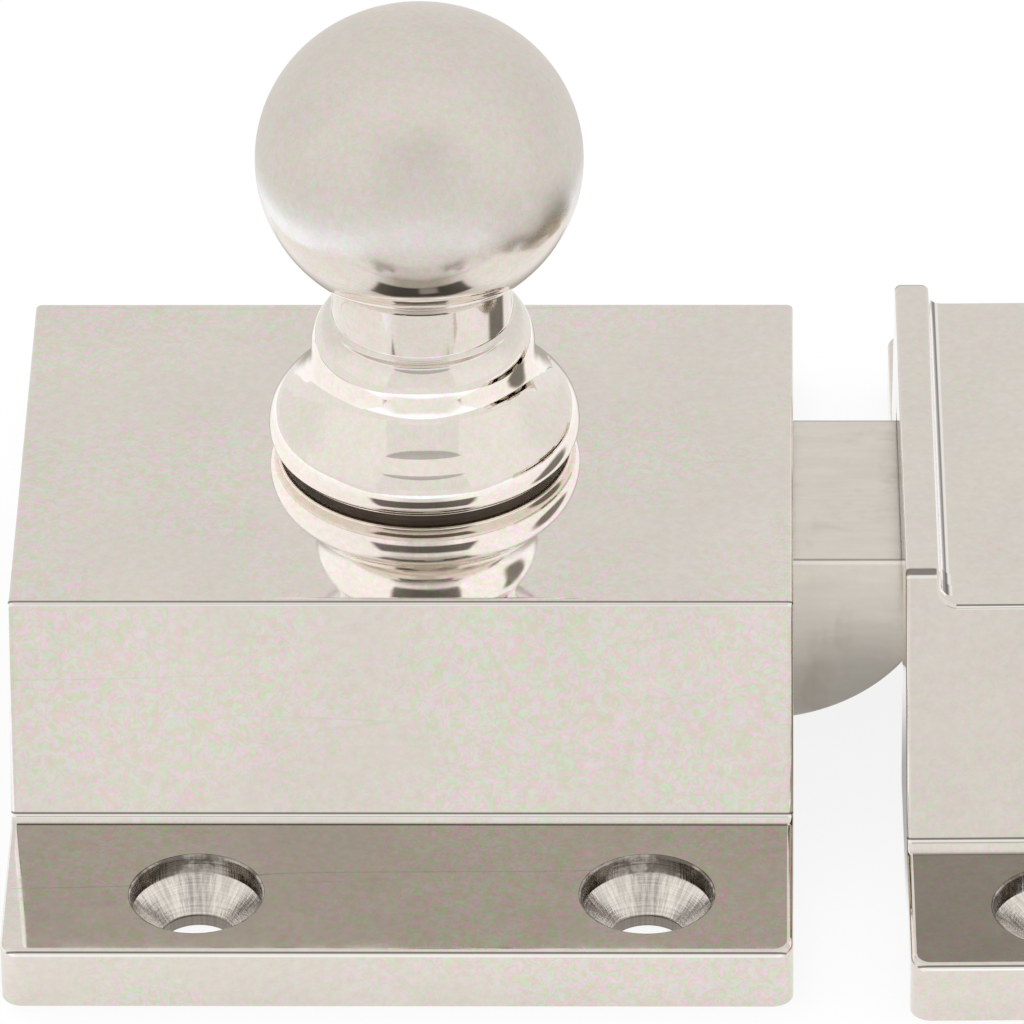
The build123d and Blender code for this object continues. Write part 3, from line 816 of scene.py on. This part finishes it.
def outer_edge(edge):
    """True for an edge over the door where two faces meet at an angle."""
    if min(v.co.z for v in edge.verts) < 0.01 * MM or len(edge.link_faces) != 2:
        return False
    return edge.calc_face_angle(0) > radians(20)


def hollow_under(x0, x1, sizes):
    """Cutter for the space under a hood."""
    foot_y = sizes.foot_depth / 2 - sizes.wall
    half = [(sizes.top_depth / 2 - sizes.wall, sizes.height - sizes.wall), (foot_y, sizes.flange),
            (foot_y, -CUT_PAST)]
    return prism(mirrored(half), lambda y, z: (x0, y, z), (x1 - x0, 0, 0))


def recess_heights(top):
    """Heights where the cone of a screw recess starts and ends, under a flange's top."""
    shared = bpy.context.scene.latch_shared
    cone_top = top - shared.recess_depth
    return cone_top, cone_top - (shared.recess - shared.hole) / 2 / tan(RECESS_CONE)


def countersink(x, y, top, material):
    """Cutter for a mounting screw: rounded rim, recess, cone and through hole."""
    shared = bpy.context.scene.latch_shared
    radius, hole, rim = shared.recess / 2, shared.hole / 2, shared.rim_round
    cone_top, cone_end = recess_heights(top)
    corner = 0.12 * MM
    points = [(0.0, -CUT_PAST), (hole, -CUT_PAST), (hole, cone_end - corner),
              (hole + corner * 0.4, cone_end + corner * 0.5), (radius - corner, cone_top - corner * 1.1),
              (radius, cone_top), (radius, top - rim)]
    points += arc((radius + rim, top - rim), rim, pi, pi / 2, 6)[1:]
    points += [(radius + rim, top + CUT_PAST), (0.0, top + CUT_PAST)]
    return as_object(turned(points, 72, (x, y)), "cutter", material)


def ride_and_replace(piece, body, slot, *nodes):
    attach(piece, body)
    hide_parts(*nodes)


def dress(node, material):
    """Put a material on a CAD node's own slots."""
    piece = frame["nodes"][node]
    for slot in piece.material_slots:
        slot.material = bpy.data.materials[material]
    if not piece.material_slots:
        raise RuntimeError(f"{node} has no material slot")


# Pieces


class LatchOperator(bpy.types.Operator):
    """Shared settings of the operators that make the latch."""
    bl_options = {"REGISTER", "UNDO"}


def edge_line(origin, turn, y, z, lean, width=0.06 * MM, start=-1.0, end=1.0):
    """Place and values of one painted line along an edge: a dark line with a painted highlight beside it."""
    return origin, turn, {"Edge Y": y, "Edge Z": z, "Lean": lean, "Width": width, "From X": start,
                          "To X": end}


def long_edges(sizes, origin=(0.0, 0.0, 0.0), turn=0.0, top_from=-1.0):
    """Painted lines of a hood, each a dark line with a painted highlight beside it: at the edge between top
    and flank, in the hollow at the foot of the flank, and at the flange's front edge.
    """
    lean, foot = flank(sizes)
    depth = bpy.context.scene.latch_shared.depth
    return [edge_line(origin, turn, sizes.top_depth / 2, sizes.height, (pi / 2 - lean) / 2,
                      start=top_from),
            edge_line(origin, turn, sizes.foot_depth / 2 - foot * sin(lean), sizes.flange + foot * cos(lean),
                      pi / 2 - lean),
            edge_line(origin, turn, depth / 2, sizes.flange, pi / 4)]


def lip_edges(keeper, origin):
    """Painted lines of the keeper's lip: a painted dark line with a painted highlight at its front edge, and
    painted shade in the groove at its root, wider in front.
    """
    half = keeper.top_depth / 2 - tan(flank(keeper)[0]) * keeper.lip_height
    root = keeper.lip_root * 0.3
    front = edge_line(origin, KEEPER_TURN, half, keeper.height + keeper.lip_height, pi / 5,
                      width=0.2 * MM, end=keeper.lip_width - keeper.lip_crest / 2)
    # Painted shade in the groove at the lip's root, widest near the front end
    groove = [edge_line(origin, KEEPER_TURN + pi / 2, keeper.lip_width + root, keeper.height + root, pi / 4,
                        width=width * MM, start=-half, end=run * MM - half)
              for width, run in GROOVE_PAINTED_SHADE_LINES]
    return [front, *groove]


class MakeFinishes(LatchOperator):
    """Make the node groups and the materials of all finishes."""
    bl_idname = "latch.make_finishes"
    bl_label = "Finishes"

    def execute(self, context):
        finish, case, keeper = (context.scene.latch_finishes, context.scene.latch_case,
                                context.scene.latch_keeper)
        bolt, hole_row = context.scene.latch_bolt, context.scene.latch_shared.hole_row
        plating_film_group()
        hairlines_group()
        painted_edge_line_group()
        turning_marks_group()
        keeper_origin = (keeper.left, keeper.shift, 0.0)
        # Painted dark lines with painted highlights along the hoods' rounded edges
        keeper_painted_lines = long_edges(keeper, keeper_origin, KEEPER_TURN, keeper.lip_width + keeper.lip_root)
        polished_nickel("Case nickel", 1500.0, 1.0, 0.56, 3.6, edges=long_edges(case))
        polished_nickel("Knob nickel", 1900.0, 0.6, 0.6, 3.4, waviness=0.12, on_knob=True)
        polished_nickel("Keeper nickel", 1500.0, 0.6, 0.5, 3.6,
                        edges=keeper_painted_lines + lip_edges(keeper, keeper_origin))
        turned_recess("Case recess", case.flange, (case.hole_pitch / 2, hole_row))
        turned_recess("Keeper recess", keeper.flange, (0, hole_row),
                      (keeper.left + keeper.hole * cos(KEEPER_TURN), 0, 0), KEEPER_TURN)
        brushed_metal("Satin nickel", finish.satin, (0.25, 1.0, 1.0), 0.2, 0.4,
                      [edge_line((0.0, 0.0, 0.0), 0.0, bolt.width / 2, bolt.top, pi / 4)])
        brushed_metal("Plain steel", finish.steel, (0.3, 0.3, 1.0), 0.28, 0.5)
        brushed_metal("Zinc plate", finish.zinc, (1.0, 0.12, 1.0), 0.32, 0.35)
        brushed_metal("Zinc screws", [c * 0.7 for c in finish.zinc], (1.0, 1.0, 1.0), 0.3, 0.35)
        dark_plastic("Washer plastic", finish.nylon)
        return {"FINISHED"}


class MakeCase(LatchOperator):
    """Make the latch case with its hollow, bolt mouth and countersunk holes."""
    bl_idname = "latch.make_case"
    bl_label = "Latch case"

    def execute(self, context):
        shared, case, knob = context.scene.latch_shared, context.scene.latch_case, context.scene.latch_knob
        nickel, recess = bpy.data.materials["Case nickel"], bpy.data.materials["Case recess"]
        left, right = CASE_BOX[0][0], CASE_BOX[1][0]
        bm = hood(left, right - left, case.height, case.top_depth, case)
        round_edges(bm, outer_edge, shared.edge_round)
        piece = as_object(bm, "case_shell", nickel)

        inner_left, inner_right = left + case.wall, right - case.bolt_wall
        side = case.foot_depth / 2 - case.wall
        inset = case.post / 2 - case.post_sunk
        posts = [(x, y) for x in (inner_left + inset, inner_right - inset)
                 for y in (inset - side, side - inset)]
        hollow = as_object(hollow_under(inner_left, inner_right, case), "cutter", nickel)
        kept = [cylinder(case.post, case.plate_top, case.height, x, y) for x, y in posts]
        kept += [brick(left, case.rib_end, y, y + case.rib, case.rib_bottom, case.height)
                 for y in (case.rib_near, case.rib_far)]
        combine(hollow, kept, nickel)

        ledge, mouth = case.ledge, case.mouth_half
        rebate = brick(inner_left - ledge, inner_right + ledge, -side - ledge, side + ledge, -CUT_PAST,
                       case.plate_top)
        round_edges(rebate, lambda e: along(e, 2), case.plate_corner)
        cutters = [
            hollow,
            rebate,
            brick(inner_right - CUT_PAST, right + CUT_PAST, -mouth, mouth, case.plate_top, case.mouth_height),
            lying_cylinder(case.pocket, inner_left - case.pocket_depth, case.pocket_depth + CUT_PAST,
                           SPRING_HEIGHT),
            cylinder(case.bore, case.height - case.wall - CUT_PAST, case.height + CUT_PAST, knob.axis_x,
                     knob.axis_y, 64)]
        cutters += [as_object(cylinder(case.pilot, case.plate_top - CUT_PAST, case.pilot_top, x, y), "cutter",
                              recess) for x, y in posts]
        pitch = case.hole_pitch / 2
        cutters += [countersink(x, y, case.flange, recess) for x in (-pitch, pitch)
                    for y in (-shared.hole_row, shared.hole_row)]
        combine(piece, cutters, nickel)
        even_shading(piece)
        ride_and_replace(piece, "root", "polished_nickel", "latch_case")
        return {"FINISHED"}


class MakeKeeper(LatchOperator):
    """Make the keeper with its lip, mouth and countersunk holes."""
    bl_idname = "latch.make_keeper"
    bl_label = "Keeper"

    def execute(self, context):
        shared, keeper = context.scene.latch_shared, context.scene.latch_keeper
        nickel, recess = bpy.data.materials["Keeper nickel"], bpy.data.materials["Keeper recess"]
        height, crest, root = keeper.height, keeper.lip_crest, keeper.lip_root
        lip_top = height + keeper.lip_height
        lip_depth = keeper.top_depth - 2 * tan(flank(keeper)[0]) * keeper.lip_height
        piece = as_object(hood(0.0, keeper.width, lip_top, lip_depth, keeper), "keeper_shell", nickel)

        crest_x = keeper.lip_width - crest
        lean = asin(max(0.0, crest + root - keeper.lip_height) / (crest + root))
        root_x = crest_x + (crest + root) * cos(lean)
        end = keeper.width + CUT_PAST
        points = [(end, height), (end, lip_top + CUT_PAST), (crest_x, lip_top + CUT_PAST)]
        points += arc((crest_x, lip_top - crest), crest, pi / 2, lean, 10)
        points += arc((root_x, height + root), root, pi + lean, 1.5 * pi, 12)[1:]
        above_top = prism(points, lambda x, z: (x, -keeper.top_depth, z), (0, 2 * keeper.top_depth, 0))
        combine(piece, [above_top], nickel)
        bm = bmesh.new()
        bm.from_mesh(piece.data)
        bmesh.ops.remove_doubles(bm, verts=bm.verts, dist=0.01 * MM)
        round_edges(bm, outer_edge, shared.edge_round)
        bm.to_mesh(piece.data)
        bm.free()

        mouth = keeper.mouth_half
        cutters = [hollow_under(keeper.wall, keeper.width - keeper.wall, keeper),
                   brick(-CUT_PAST, keeper.wall + CUT_PAST, -mouth, mouth, -CUT_PAST, keeper.mouth_height)]
        cutters += [countersink(keeper.hole, y, keeper.flange, recess)
                    for y in (-shared.hole_row, shared.hole_row)]
        combine(piece, cutters, nickel)
        piece.data.transform(Matrix.Translation((keeper.left, keeper.shift, 0))
                             @ Matrix.Rotation(KEEPER_TURN, 4, "Z"))
        even_shading(piece)
        ride_and_replace(piece, "root", "polished_nickel", "keeper")
        return {"FINISHED"}


class MakeKnob(LatchOperator):
    """Turn the knob from its outline: foot, bulge, flare, collar, neck and flattened ball."""
    bl_idname = "latch.make_knob"
    bl_label = "Knob"

    def execute(self, context):
        knob = context.scene.latch_knob
        seat, socket, rim = knob.seat, knob.socket / 2, knob.foot_rim
        socket_top = knob.socket_depth + seat
        points = [(0.0, socket_top), (socket, socket_top), (socket, seat), (knob.foot - rim, seat)]
        points += arc((knob.foot - rim, seat + rim), rim, -pi / 2, 0, 4)[1:]
        points += [(r * MM, z * MM) for r, z in KNOB_FLARE]

        inset = knob.collar - knob.collar_top
        rise = knob.collar_end - knob.collar_start
        radius = (rise ** 2 + inset ** 2) / (2 * inset)
        curl = acos((radius - inset) / radius)
        points += arc((knob.collar - radius, knob.collar_start), radius, 0, curl, 10)[1:]
        cove = knob.collar_top - knob.neck
        points += arc((knob.collar_top, knob.collar_end + cove), cove, -pi / 2, -pi, 5)[1:]

        # The ball's outline: a smaller circle at the side and a larger one at top and bottom
        small, half, centre = knob.ball_side, knob.ball_half, knob.ball_height
        side_x = knob.ball - small
        large = (side_x ** 2 + half ** 2 - small ** 2) / (2 * (half - small))
        drop = large - half
        join = atan2(drop, side_x)
        points += arc((0.0, centre + drop), large, -acos(knob.neck / large), -join, 6)
        points += arc((side_x, centre), small, -join, join, 46)[1:]
        points += arc((0.0, centre - drop), large, join, pi / 2, 26)[1:]
        points[-1] = (0.0, points[-1][1])

        base = context.scene.latch_case.height
        bm = turned([(r, base + z) for r, z in points], knob.steps, (knob.axis_x, knob.axis_y))
        piece = as_object(bm, "ball_knob", bpy.data.materials["Knob nickel"])
        even_shading(piece, 50.0)
        ride_and_replace(piece, "knob", "polished_nickel", "knob")
        return {"FINISHED"}


class MakeWasher(LatchOperator):
    """Turn the thrust washer under the knob."""
    bl_idname = "latch.make_washer"
    bl_label = "Thrust washer"

    def execute(self, context):
        knob = context.scene.latch_knob
        base = context.scene.latch_case.height
        inner, outer, top, rim = knob.washer_hole / 2, knob.washer / 2, knob.seat, knob.washer_rim
        points = [(inner, 0.0), (outer, 0.0)] + arc((outer - rim, top - rim), rim, 0, pi / 2, 4)
        points += [(inner, top), (inner, 0.0)]
        bm = turned([(r, base + z) for r, z in points], 128, (knob.axis_x, knob.axis_y))
        piece = as_object(bm, "knob_washer", bpy.data.materials["Washer plastic"])
        even_shading(piece)
        ride_and_replace(piece, "root", "washer_nylon", "thrust_washer")
        return {"FINISHED"}


class MakeBolt(LatchOperator):
    """Make the spring bolt: head with a rounded underside, shoulder, rail, crossbar, pad and lug."""
    bl_idname = "latch.make_bolt"
    bl_label = "Bolt"

    def execute(self, context):
        bolt = context.scene.latch_bolt
        satin = bpy.data.materials["Satin nickel"]
        bottom, tail_top, half = bolt.bottom, bolt.tail_top, bolt.shoulder_half
        shoulder_left = bolt.shoulder - bolt.shoulder_length
        points = [(shoulder_left, bottom)]
        points += arc((bolt.tip - bolt.nose, bottom + bolt.nose), bolt.nose, -pi / 2, 0, 32)
        points += [(bolt.tip, bolt.top), (bolt.head_left, bolt.top), (bolt.head_left, tail_top),
                   (shoulder_left, tail_top)]
        bm = prism(points, lambda x, z: (x, bolt.width / 2, z), (0, -bolt.width, 0))
        right = bolt.head_left + 0.5 * MM

        def head_edge(edge):
            if min(v.co.x for v in edge.verts) <= right or edge.calc_face_angle(0) <= radians(20):
                return False
            return max(v.co.z for v in edge.verts) > bottom + 0.01 * MM or not along(edge, 1)

        round_edges(bm, head_edge, bolt.edge_round, 4)
        piece = as_object(bm, "bolt_body", satin)
        bar = (bolt.bar_left, bolt.bar_right)
        combine(piece, [
            brick(shoulder_left, bolt.shoulder, -half, half, bottom, tail_top),
            brick(bar[0], shoulder_left + CUT_PAST, -half, bolt.rail_side, bottom, tail_top),
            brick(*bar, -half, bolt.bar_side, bottom, tail_top),
            brick(bar[1] - CUT_PAST, bolt.pad_end, bolt.pad_side, bolt.bar_side, bottom, tail_top),
            brick(*bar, -bolt.lug_half, bolt.lug_half, tail_top - CUT_PAST, bolt.lug_top),
        ], satin, "UNION")
        seat = lying_cylinder(bolt.pin_hole, bar[0] - CUT_PAST, bolt.pin_depth + CUT_PAST, SPRING_HEIGHT)
        combine(piece, [seat], satin)
        even_shading(piece)
        ride_and_replace(piece, "bolt", "satin_nickel", "bolt")
        return {"FINISHED"}


class MakeSpring(LatchOperator):
    """Wind the compression spring at its rest length."""
    bl_idname = "latch.make_spring"
    bl_label = "Bolt spring"

    def execute(self, context):
        bolt = context.scene.latch_bolt
        low, high = SPRING_BOX
        axis_z = (low[2] + high[2]) / 2
        wire = bolt.spring_wire / 2
        steps = bolt.spring_turns * SPRING_STEPS
        start = Matrix.Translation((low[0] + wire, 0, high[2] - wire)) @ Matrix.Rotation(pi / 2, 4, "X")
        bm = bmesh.new()
        bmesh.ops.create_circle(bm, cap_ends=True, segments=12, radius=wire, matrix=start)
        bmesh.ops.spin(bm, geom=[*bm.verts, *bm.edges, *bm.faces], cent=(0, 0, axis_z), axis=(1, 0, 0),
                       dvec=((high[0] - low[0] - 2 * wire) / steps, 0, 0), angle=2 * pi * bolt.spring_turns,
                       steps=steps)
        bmesh.ops.recalc_face_normals(bm, faces=bm.faces)
        piece = as_object(bm, "spring_coil", bpy.data.materials["Plain steel"])
        even_shading(piece)
        ride_and_replace(piece, "root", "plain_steel", "bolt_spring")
        travel = next(joint["range_m"][1] for joint in frame["joints"] if joint["name"] == "bolt_slide")
        1 - travel / (high[0] - low[0])
        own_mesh(piece)
        return {"FINISHED"}


class DressInnerParts(LatchOperator):
    """Give the back plate, its screws and the inner parts their finishes."""
    bl_idname = "latch.dress_inner_parts"
    bl_label = "Inner parts and back plate"

    def execute(self, context):
        dress("back_plate", "Zinc plate")
        for node in ("cam_washer", "cam_screw", *(f"back_plate_screw_{n}" for n in range(1, 5))):
            dress(node, "Zinc screws")
        for node in ("knob_spindle", "bolt_cam", "spring_guide_pin"):
            dress(node, "Plain steel")
        return {"FINISHED"}


def world_surroundings(context):
    """White tent: plain white to the camera, shaded and with soft dark shapes in reflections."""
    studio = context.scene.latch_studio
    world = bpy.data.worlds.new("Tent")
    world.use_nodes = True
    tree = world.node_tree
    tree.nodes.clear()
    direction = Signal(add_node(tree, "ShaderNodeTexCoord").outputs["Generated"])
    x, y, z = split(direction)
    path = outputs_of(add_node(tree, "ShaderNodeLightPath"))
    sideways = abs(x)
    turn = abs(maths("ARCTAN2", x, y * -1.0))

    # First reflections: brighter in front but for the camera's opening, with a soft dark ellipse over it
    opening = step(turn, *OPENING_SIDE, 1.0, 0.0) * step(z, *OPENING_TOP, 1.0, 0.0)
    around = step(y, 0.3, -0.1) * (1.0 - opening)
    front = step(y, -0.9, -0.98) * step(z, 0.2, 0.05)
    first = studio.mirrored + around * 0.08 + front * 0.06
    lens_x, lens_z = x / LENS_HALF[0], (z - LENS_HEIGHT) / LENS_HALF[1]
    lens = step(lens_x * lens_x + lens_z * lens_z, 0.85, 1.1, 0.42, 0.0) * step(y, 0.0, -0.1)
    first = first * (1.0 - lens)

    # Second reflections: bright lights at the sides, and three dark places
    again = step(path["Glossy Depth"], 1.2, 1.8)
    over = step(sideways, 0.12, 0.42, step(y, -0.5, -0.37, 1.0, 0.58), studio.overhead)
    gap = step(sideways, 0.28, 0.32, 1.0, 0.0) * (band(y, -0.25, 0.02, 0.015) * step(z, 0.5, 0.55))
    lit = band(x, -0.01, 0.11, 0.015) * band(y, -0.24, -0.11, 0.015)
    gap = gap * (1.0 - lit * 0.6)
    camera = step(turn, 0.62, 0.72, 1.0, 0.0) * band(z, 0.4, 0.77, 0.025)
    flag = step(vector_maths("DOT_PRODUCT", direction, FLAG_AT), *FLAG_EDGE, 0.0, 0.8)
    over = over * (1.0 - gap * 0.85) * (1.0 - camera * 0.85) * (1.0 - flag)

    glossy = path["Is Glossy Ray"]
    glow = between(studio.tent, between(first, over, again), glossy)
    cool = step(over, 0.75, 1.05) * again * glossy
    light = mixed(mixed(grey(glow), COOL_LIGHT, cool, "MULTIPLY"), WHITE, path["Is Camera Ray"])
    put_out(tree, add_node(tree, "ShaderNodeBackground", {"Color": light, "Strength": 1.0}),
            "ShaderNodeOutputWorld")
    context.scene.world = world


def either(fac, first, second):
    """Mix of two shaders."""
    return add_node(first.id_data, "ShaderNodeMixShader",
                    {0: fac, 1: Signal(first.outputs[0]), 2: Signal(second.outputs[0])})


def floor_material(context):
    """Pale floor that keeps the object's shadow. Reflections see it glow as a table, with painted pools of
    light, a painted dark rim and a painted shadow under the bolt.
    """
    studio = context.scene.latch_studio
    tree = new_tree("Pale floor")
    place = object_place(tree)
    x, y, _ = split(place)
    speck = grey(step(noise(place, 300.0, 3.0), 0.2, 0.8, 0.99, 1.0))
    matt = add_node(tree, "ShaderNodeBsdfDiffuse", {"Color": tinted((*studio.floor, 1.0), speck)})

    # Painted light on the glowing table that reflections see: pools of light beside the object, brighter
    # still further in front, a dimmer strip before the keeper, and a painted dark rim where the bright table
    # ends
    level = step(abs(x), 0.02, 0.045, studio.table, studio.table_sides)
    before_keeper = band(y, -0.0405, -0.0325, 0.0015) * step(x, 0.022, 0.027)
    level = between(level, studio.table * 1.02, before_keeper)
    level = between(level, 1.25, step(y, -0.058, -0.076))
    across = maths("MINIMUM", y, 0.0) * 0.47 + maths("MAXIMUM", y, 0.0)
    reach = vector_maths("LENGTH", joined(x * 1.1, across))
    edge = studio.table_edge
    level = between(level, studio.mirrored, step(reach, edge - 2 * MM, edge))
    rim = step(abs(reach - (edge + 2 * MM)), 1 * MM, 2.5 * MM, 0.6, 0.0) * step(y, -0.05, 0.0)
    # Painted shadow on the glowing table under the bolt
    from_bolt = vector_maths("LENGTH", vector_maths("SUBTRACT", place, BOLT_PAINTED_SHADOW))
    level = level * (1.0 - rim) * step(from_bolt, 0.003, 0.012, 0.45, 1.0)
    tint = mixed(WHITE, COOL_TABLE, step(level, 0.95, 1.25))
    table = either(0.85, matt, add_node(tree, "ShaderNodeEmission", {"Color": tint, "Strength": level}))

    path = outputs_of(add_node(tree, "ShaderNodeLightPath"))
    white = add_node(tree, "ShaderNodeEmission", {"Color": WHITE, "Strength": 1.0})
    seen = either(path["Is Camera Ray"] * 0.85, matt, white)
    lit = either(path["Is Glossy Ray"], seen, table)
    back = Signal(add_node(tree, "ShaderNodeNewGeometry").outputs["Backfacing"])
    put_out(tree, either(back, lit, add_node(tree, "ShaderNodeBsdfTransparent")))
    return bpy.data.materials["Pale floor"]


class MakeStudio(LatchOperator):
    """Make the pale floor, the surroundings, the soft lamp and the camera."""
    bl_idname = "latch.make_studio"
    bl_label = "Studio"

    def execute(self, context):
        studio = context.scene.latch_studio
        world_surroundings(context)
        bm = bmesh.new()
        bmesh.ops.create_grid(bm, x_segments=1, y_segments=1, size=studio.floor_size / 2)
        floor = as_object(bm, "floor", floor_material(context))
        lamp = bpy.data.lights.new("Soft lamp", "AREA")
        lamp.shape = "DISK"
        lamp.size = 0.5
        lamp.energy = 1.2
        soft = bpy.data.objects.new("soft_lamp", lamp)
        soft.location = LAMP_AT
        soft.rotation_euler = (-LAMP_AT).to_track_quat("-Z", "Y").to_euler()
        soft.visible_glossy = False
        context.scene.collection.objects.link(soft)
        camera_data = bpy.data.cameras.new("Camera")
        camera_data.lens = studio.focal
        camera_data.sensor_width = 36
        camera_data.sensor_fit = "HORIZONTAL"
        camera_data.clip_start = 0.01
        camera_data.clip_end = 50
        camera = bpy.data.objects.new("camera", camera_data)
        turn = Matrix((CAMERA_RIGHT, CAMERA_UP, CAMERA_RIGHT.cross(CAMERA_UP))).transposed().to_4x4()
        camera.matrix_world = Matrix.Translation(CAMERA_AT) @ turn
        context.scene.collection.objects.link(camera)
        context.scene.camera = camera
        context.scene.view_settings.view_transform = "Standard"
        return {"FINISHED"}


class LatchPanel(bpy.types.Panel):
    """Lists the steps that make the latch and the sizes they use."""
    bl_idname = "VIEW3D_PT_catch_latch"
    bl_label = "Catch latch"
    bl_space_type = "VIEW_3D"
    bl_region_type = "UI"
    bl_category = "Catch latch"

    def draw(self, context):
        layout = self.layout
        for maker in MAKERS:
            layout.operator(maker.bl_idname, text=maker.bl_label)
        for attribute, group in GROUPS.items():
            box = layout.box()
            box.label(text=group.__doc__.rstrip("."))
            for name in group.__annotations__:
                box.prop(getattr(context.scene, attribute), name)


MAKERS = (MakeFinishes, MakeCase, MakeKeeper, MakeKnob, MakeWasher, MakeBolt, MakeSpring, DressInnerParts,
          MakeStudio)


def register():
    for group in GROUPS.values():
        bpy.utils.register_class(group)
    for attribute, group in GROUPS.items():
        setattr(bpy.types.Scene, attribute, PointerProperty(type=group))
    for maker in MAKERS:
        bpy.utils.register_class(maker)
    bpy.utils.register_class(LatchPanel)


def unregister():
    bpy.utils.unregister_class(LatchPanel)
    for maker in reversed(MAKERS):
        bpy.utils.unregister_class(maker)
    for attribute in GROUPS:
        delattr(bpy.types.Scene, attribute)
    for group in reversed(GROUPS.values()):
        bpy.utils.unregister_class(group)


def main():
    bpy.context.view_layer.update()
    register()
    bpy.ops.latch.make_finishes()
    bpy.ops.latch.make_case()
    bpy.ops.latch.make_keeper()
    bpy.ops.latch.make_knob()
    bpy.ops.latch.make_washer()
    bpy.ops.latch.make_bolt()
    bpy.ops.latch.make_spring()
    bpy.ops.latch.dress_inner_parts()
    bpy.ops.latch.make_studio()


if __name__ == "__main__":
    main()
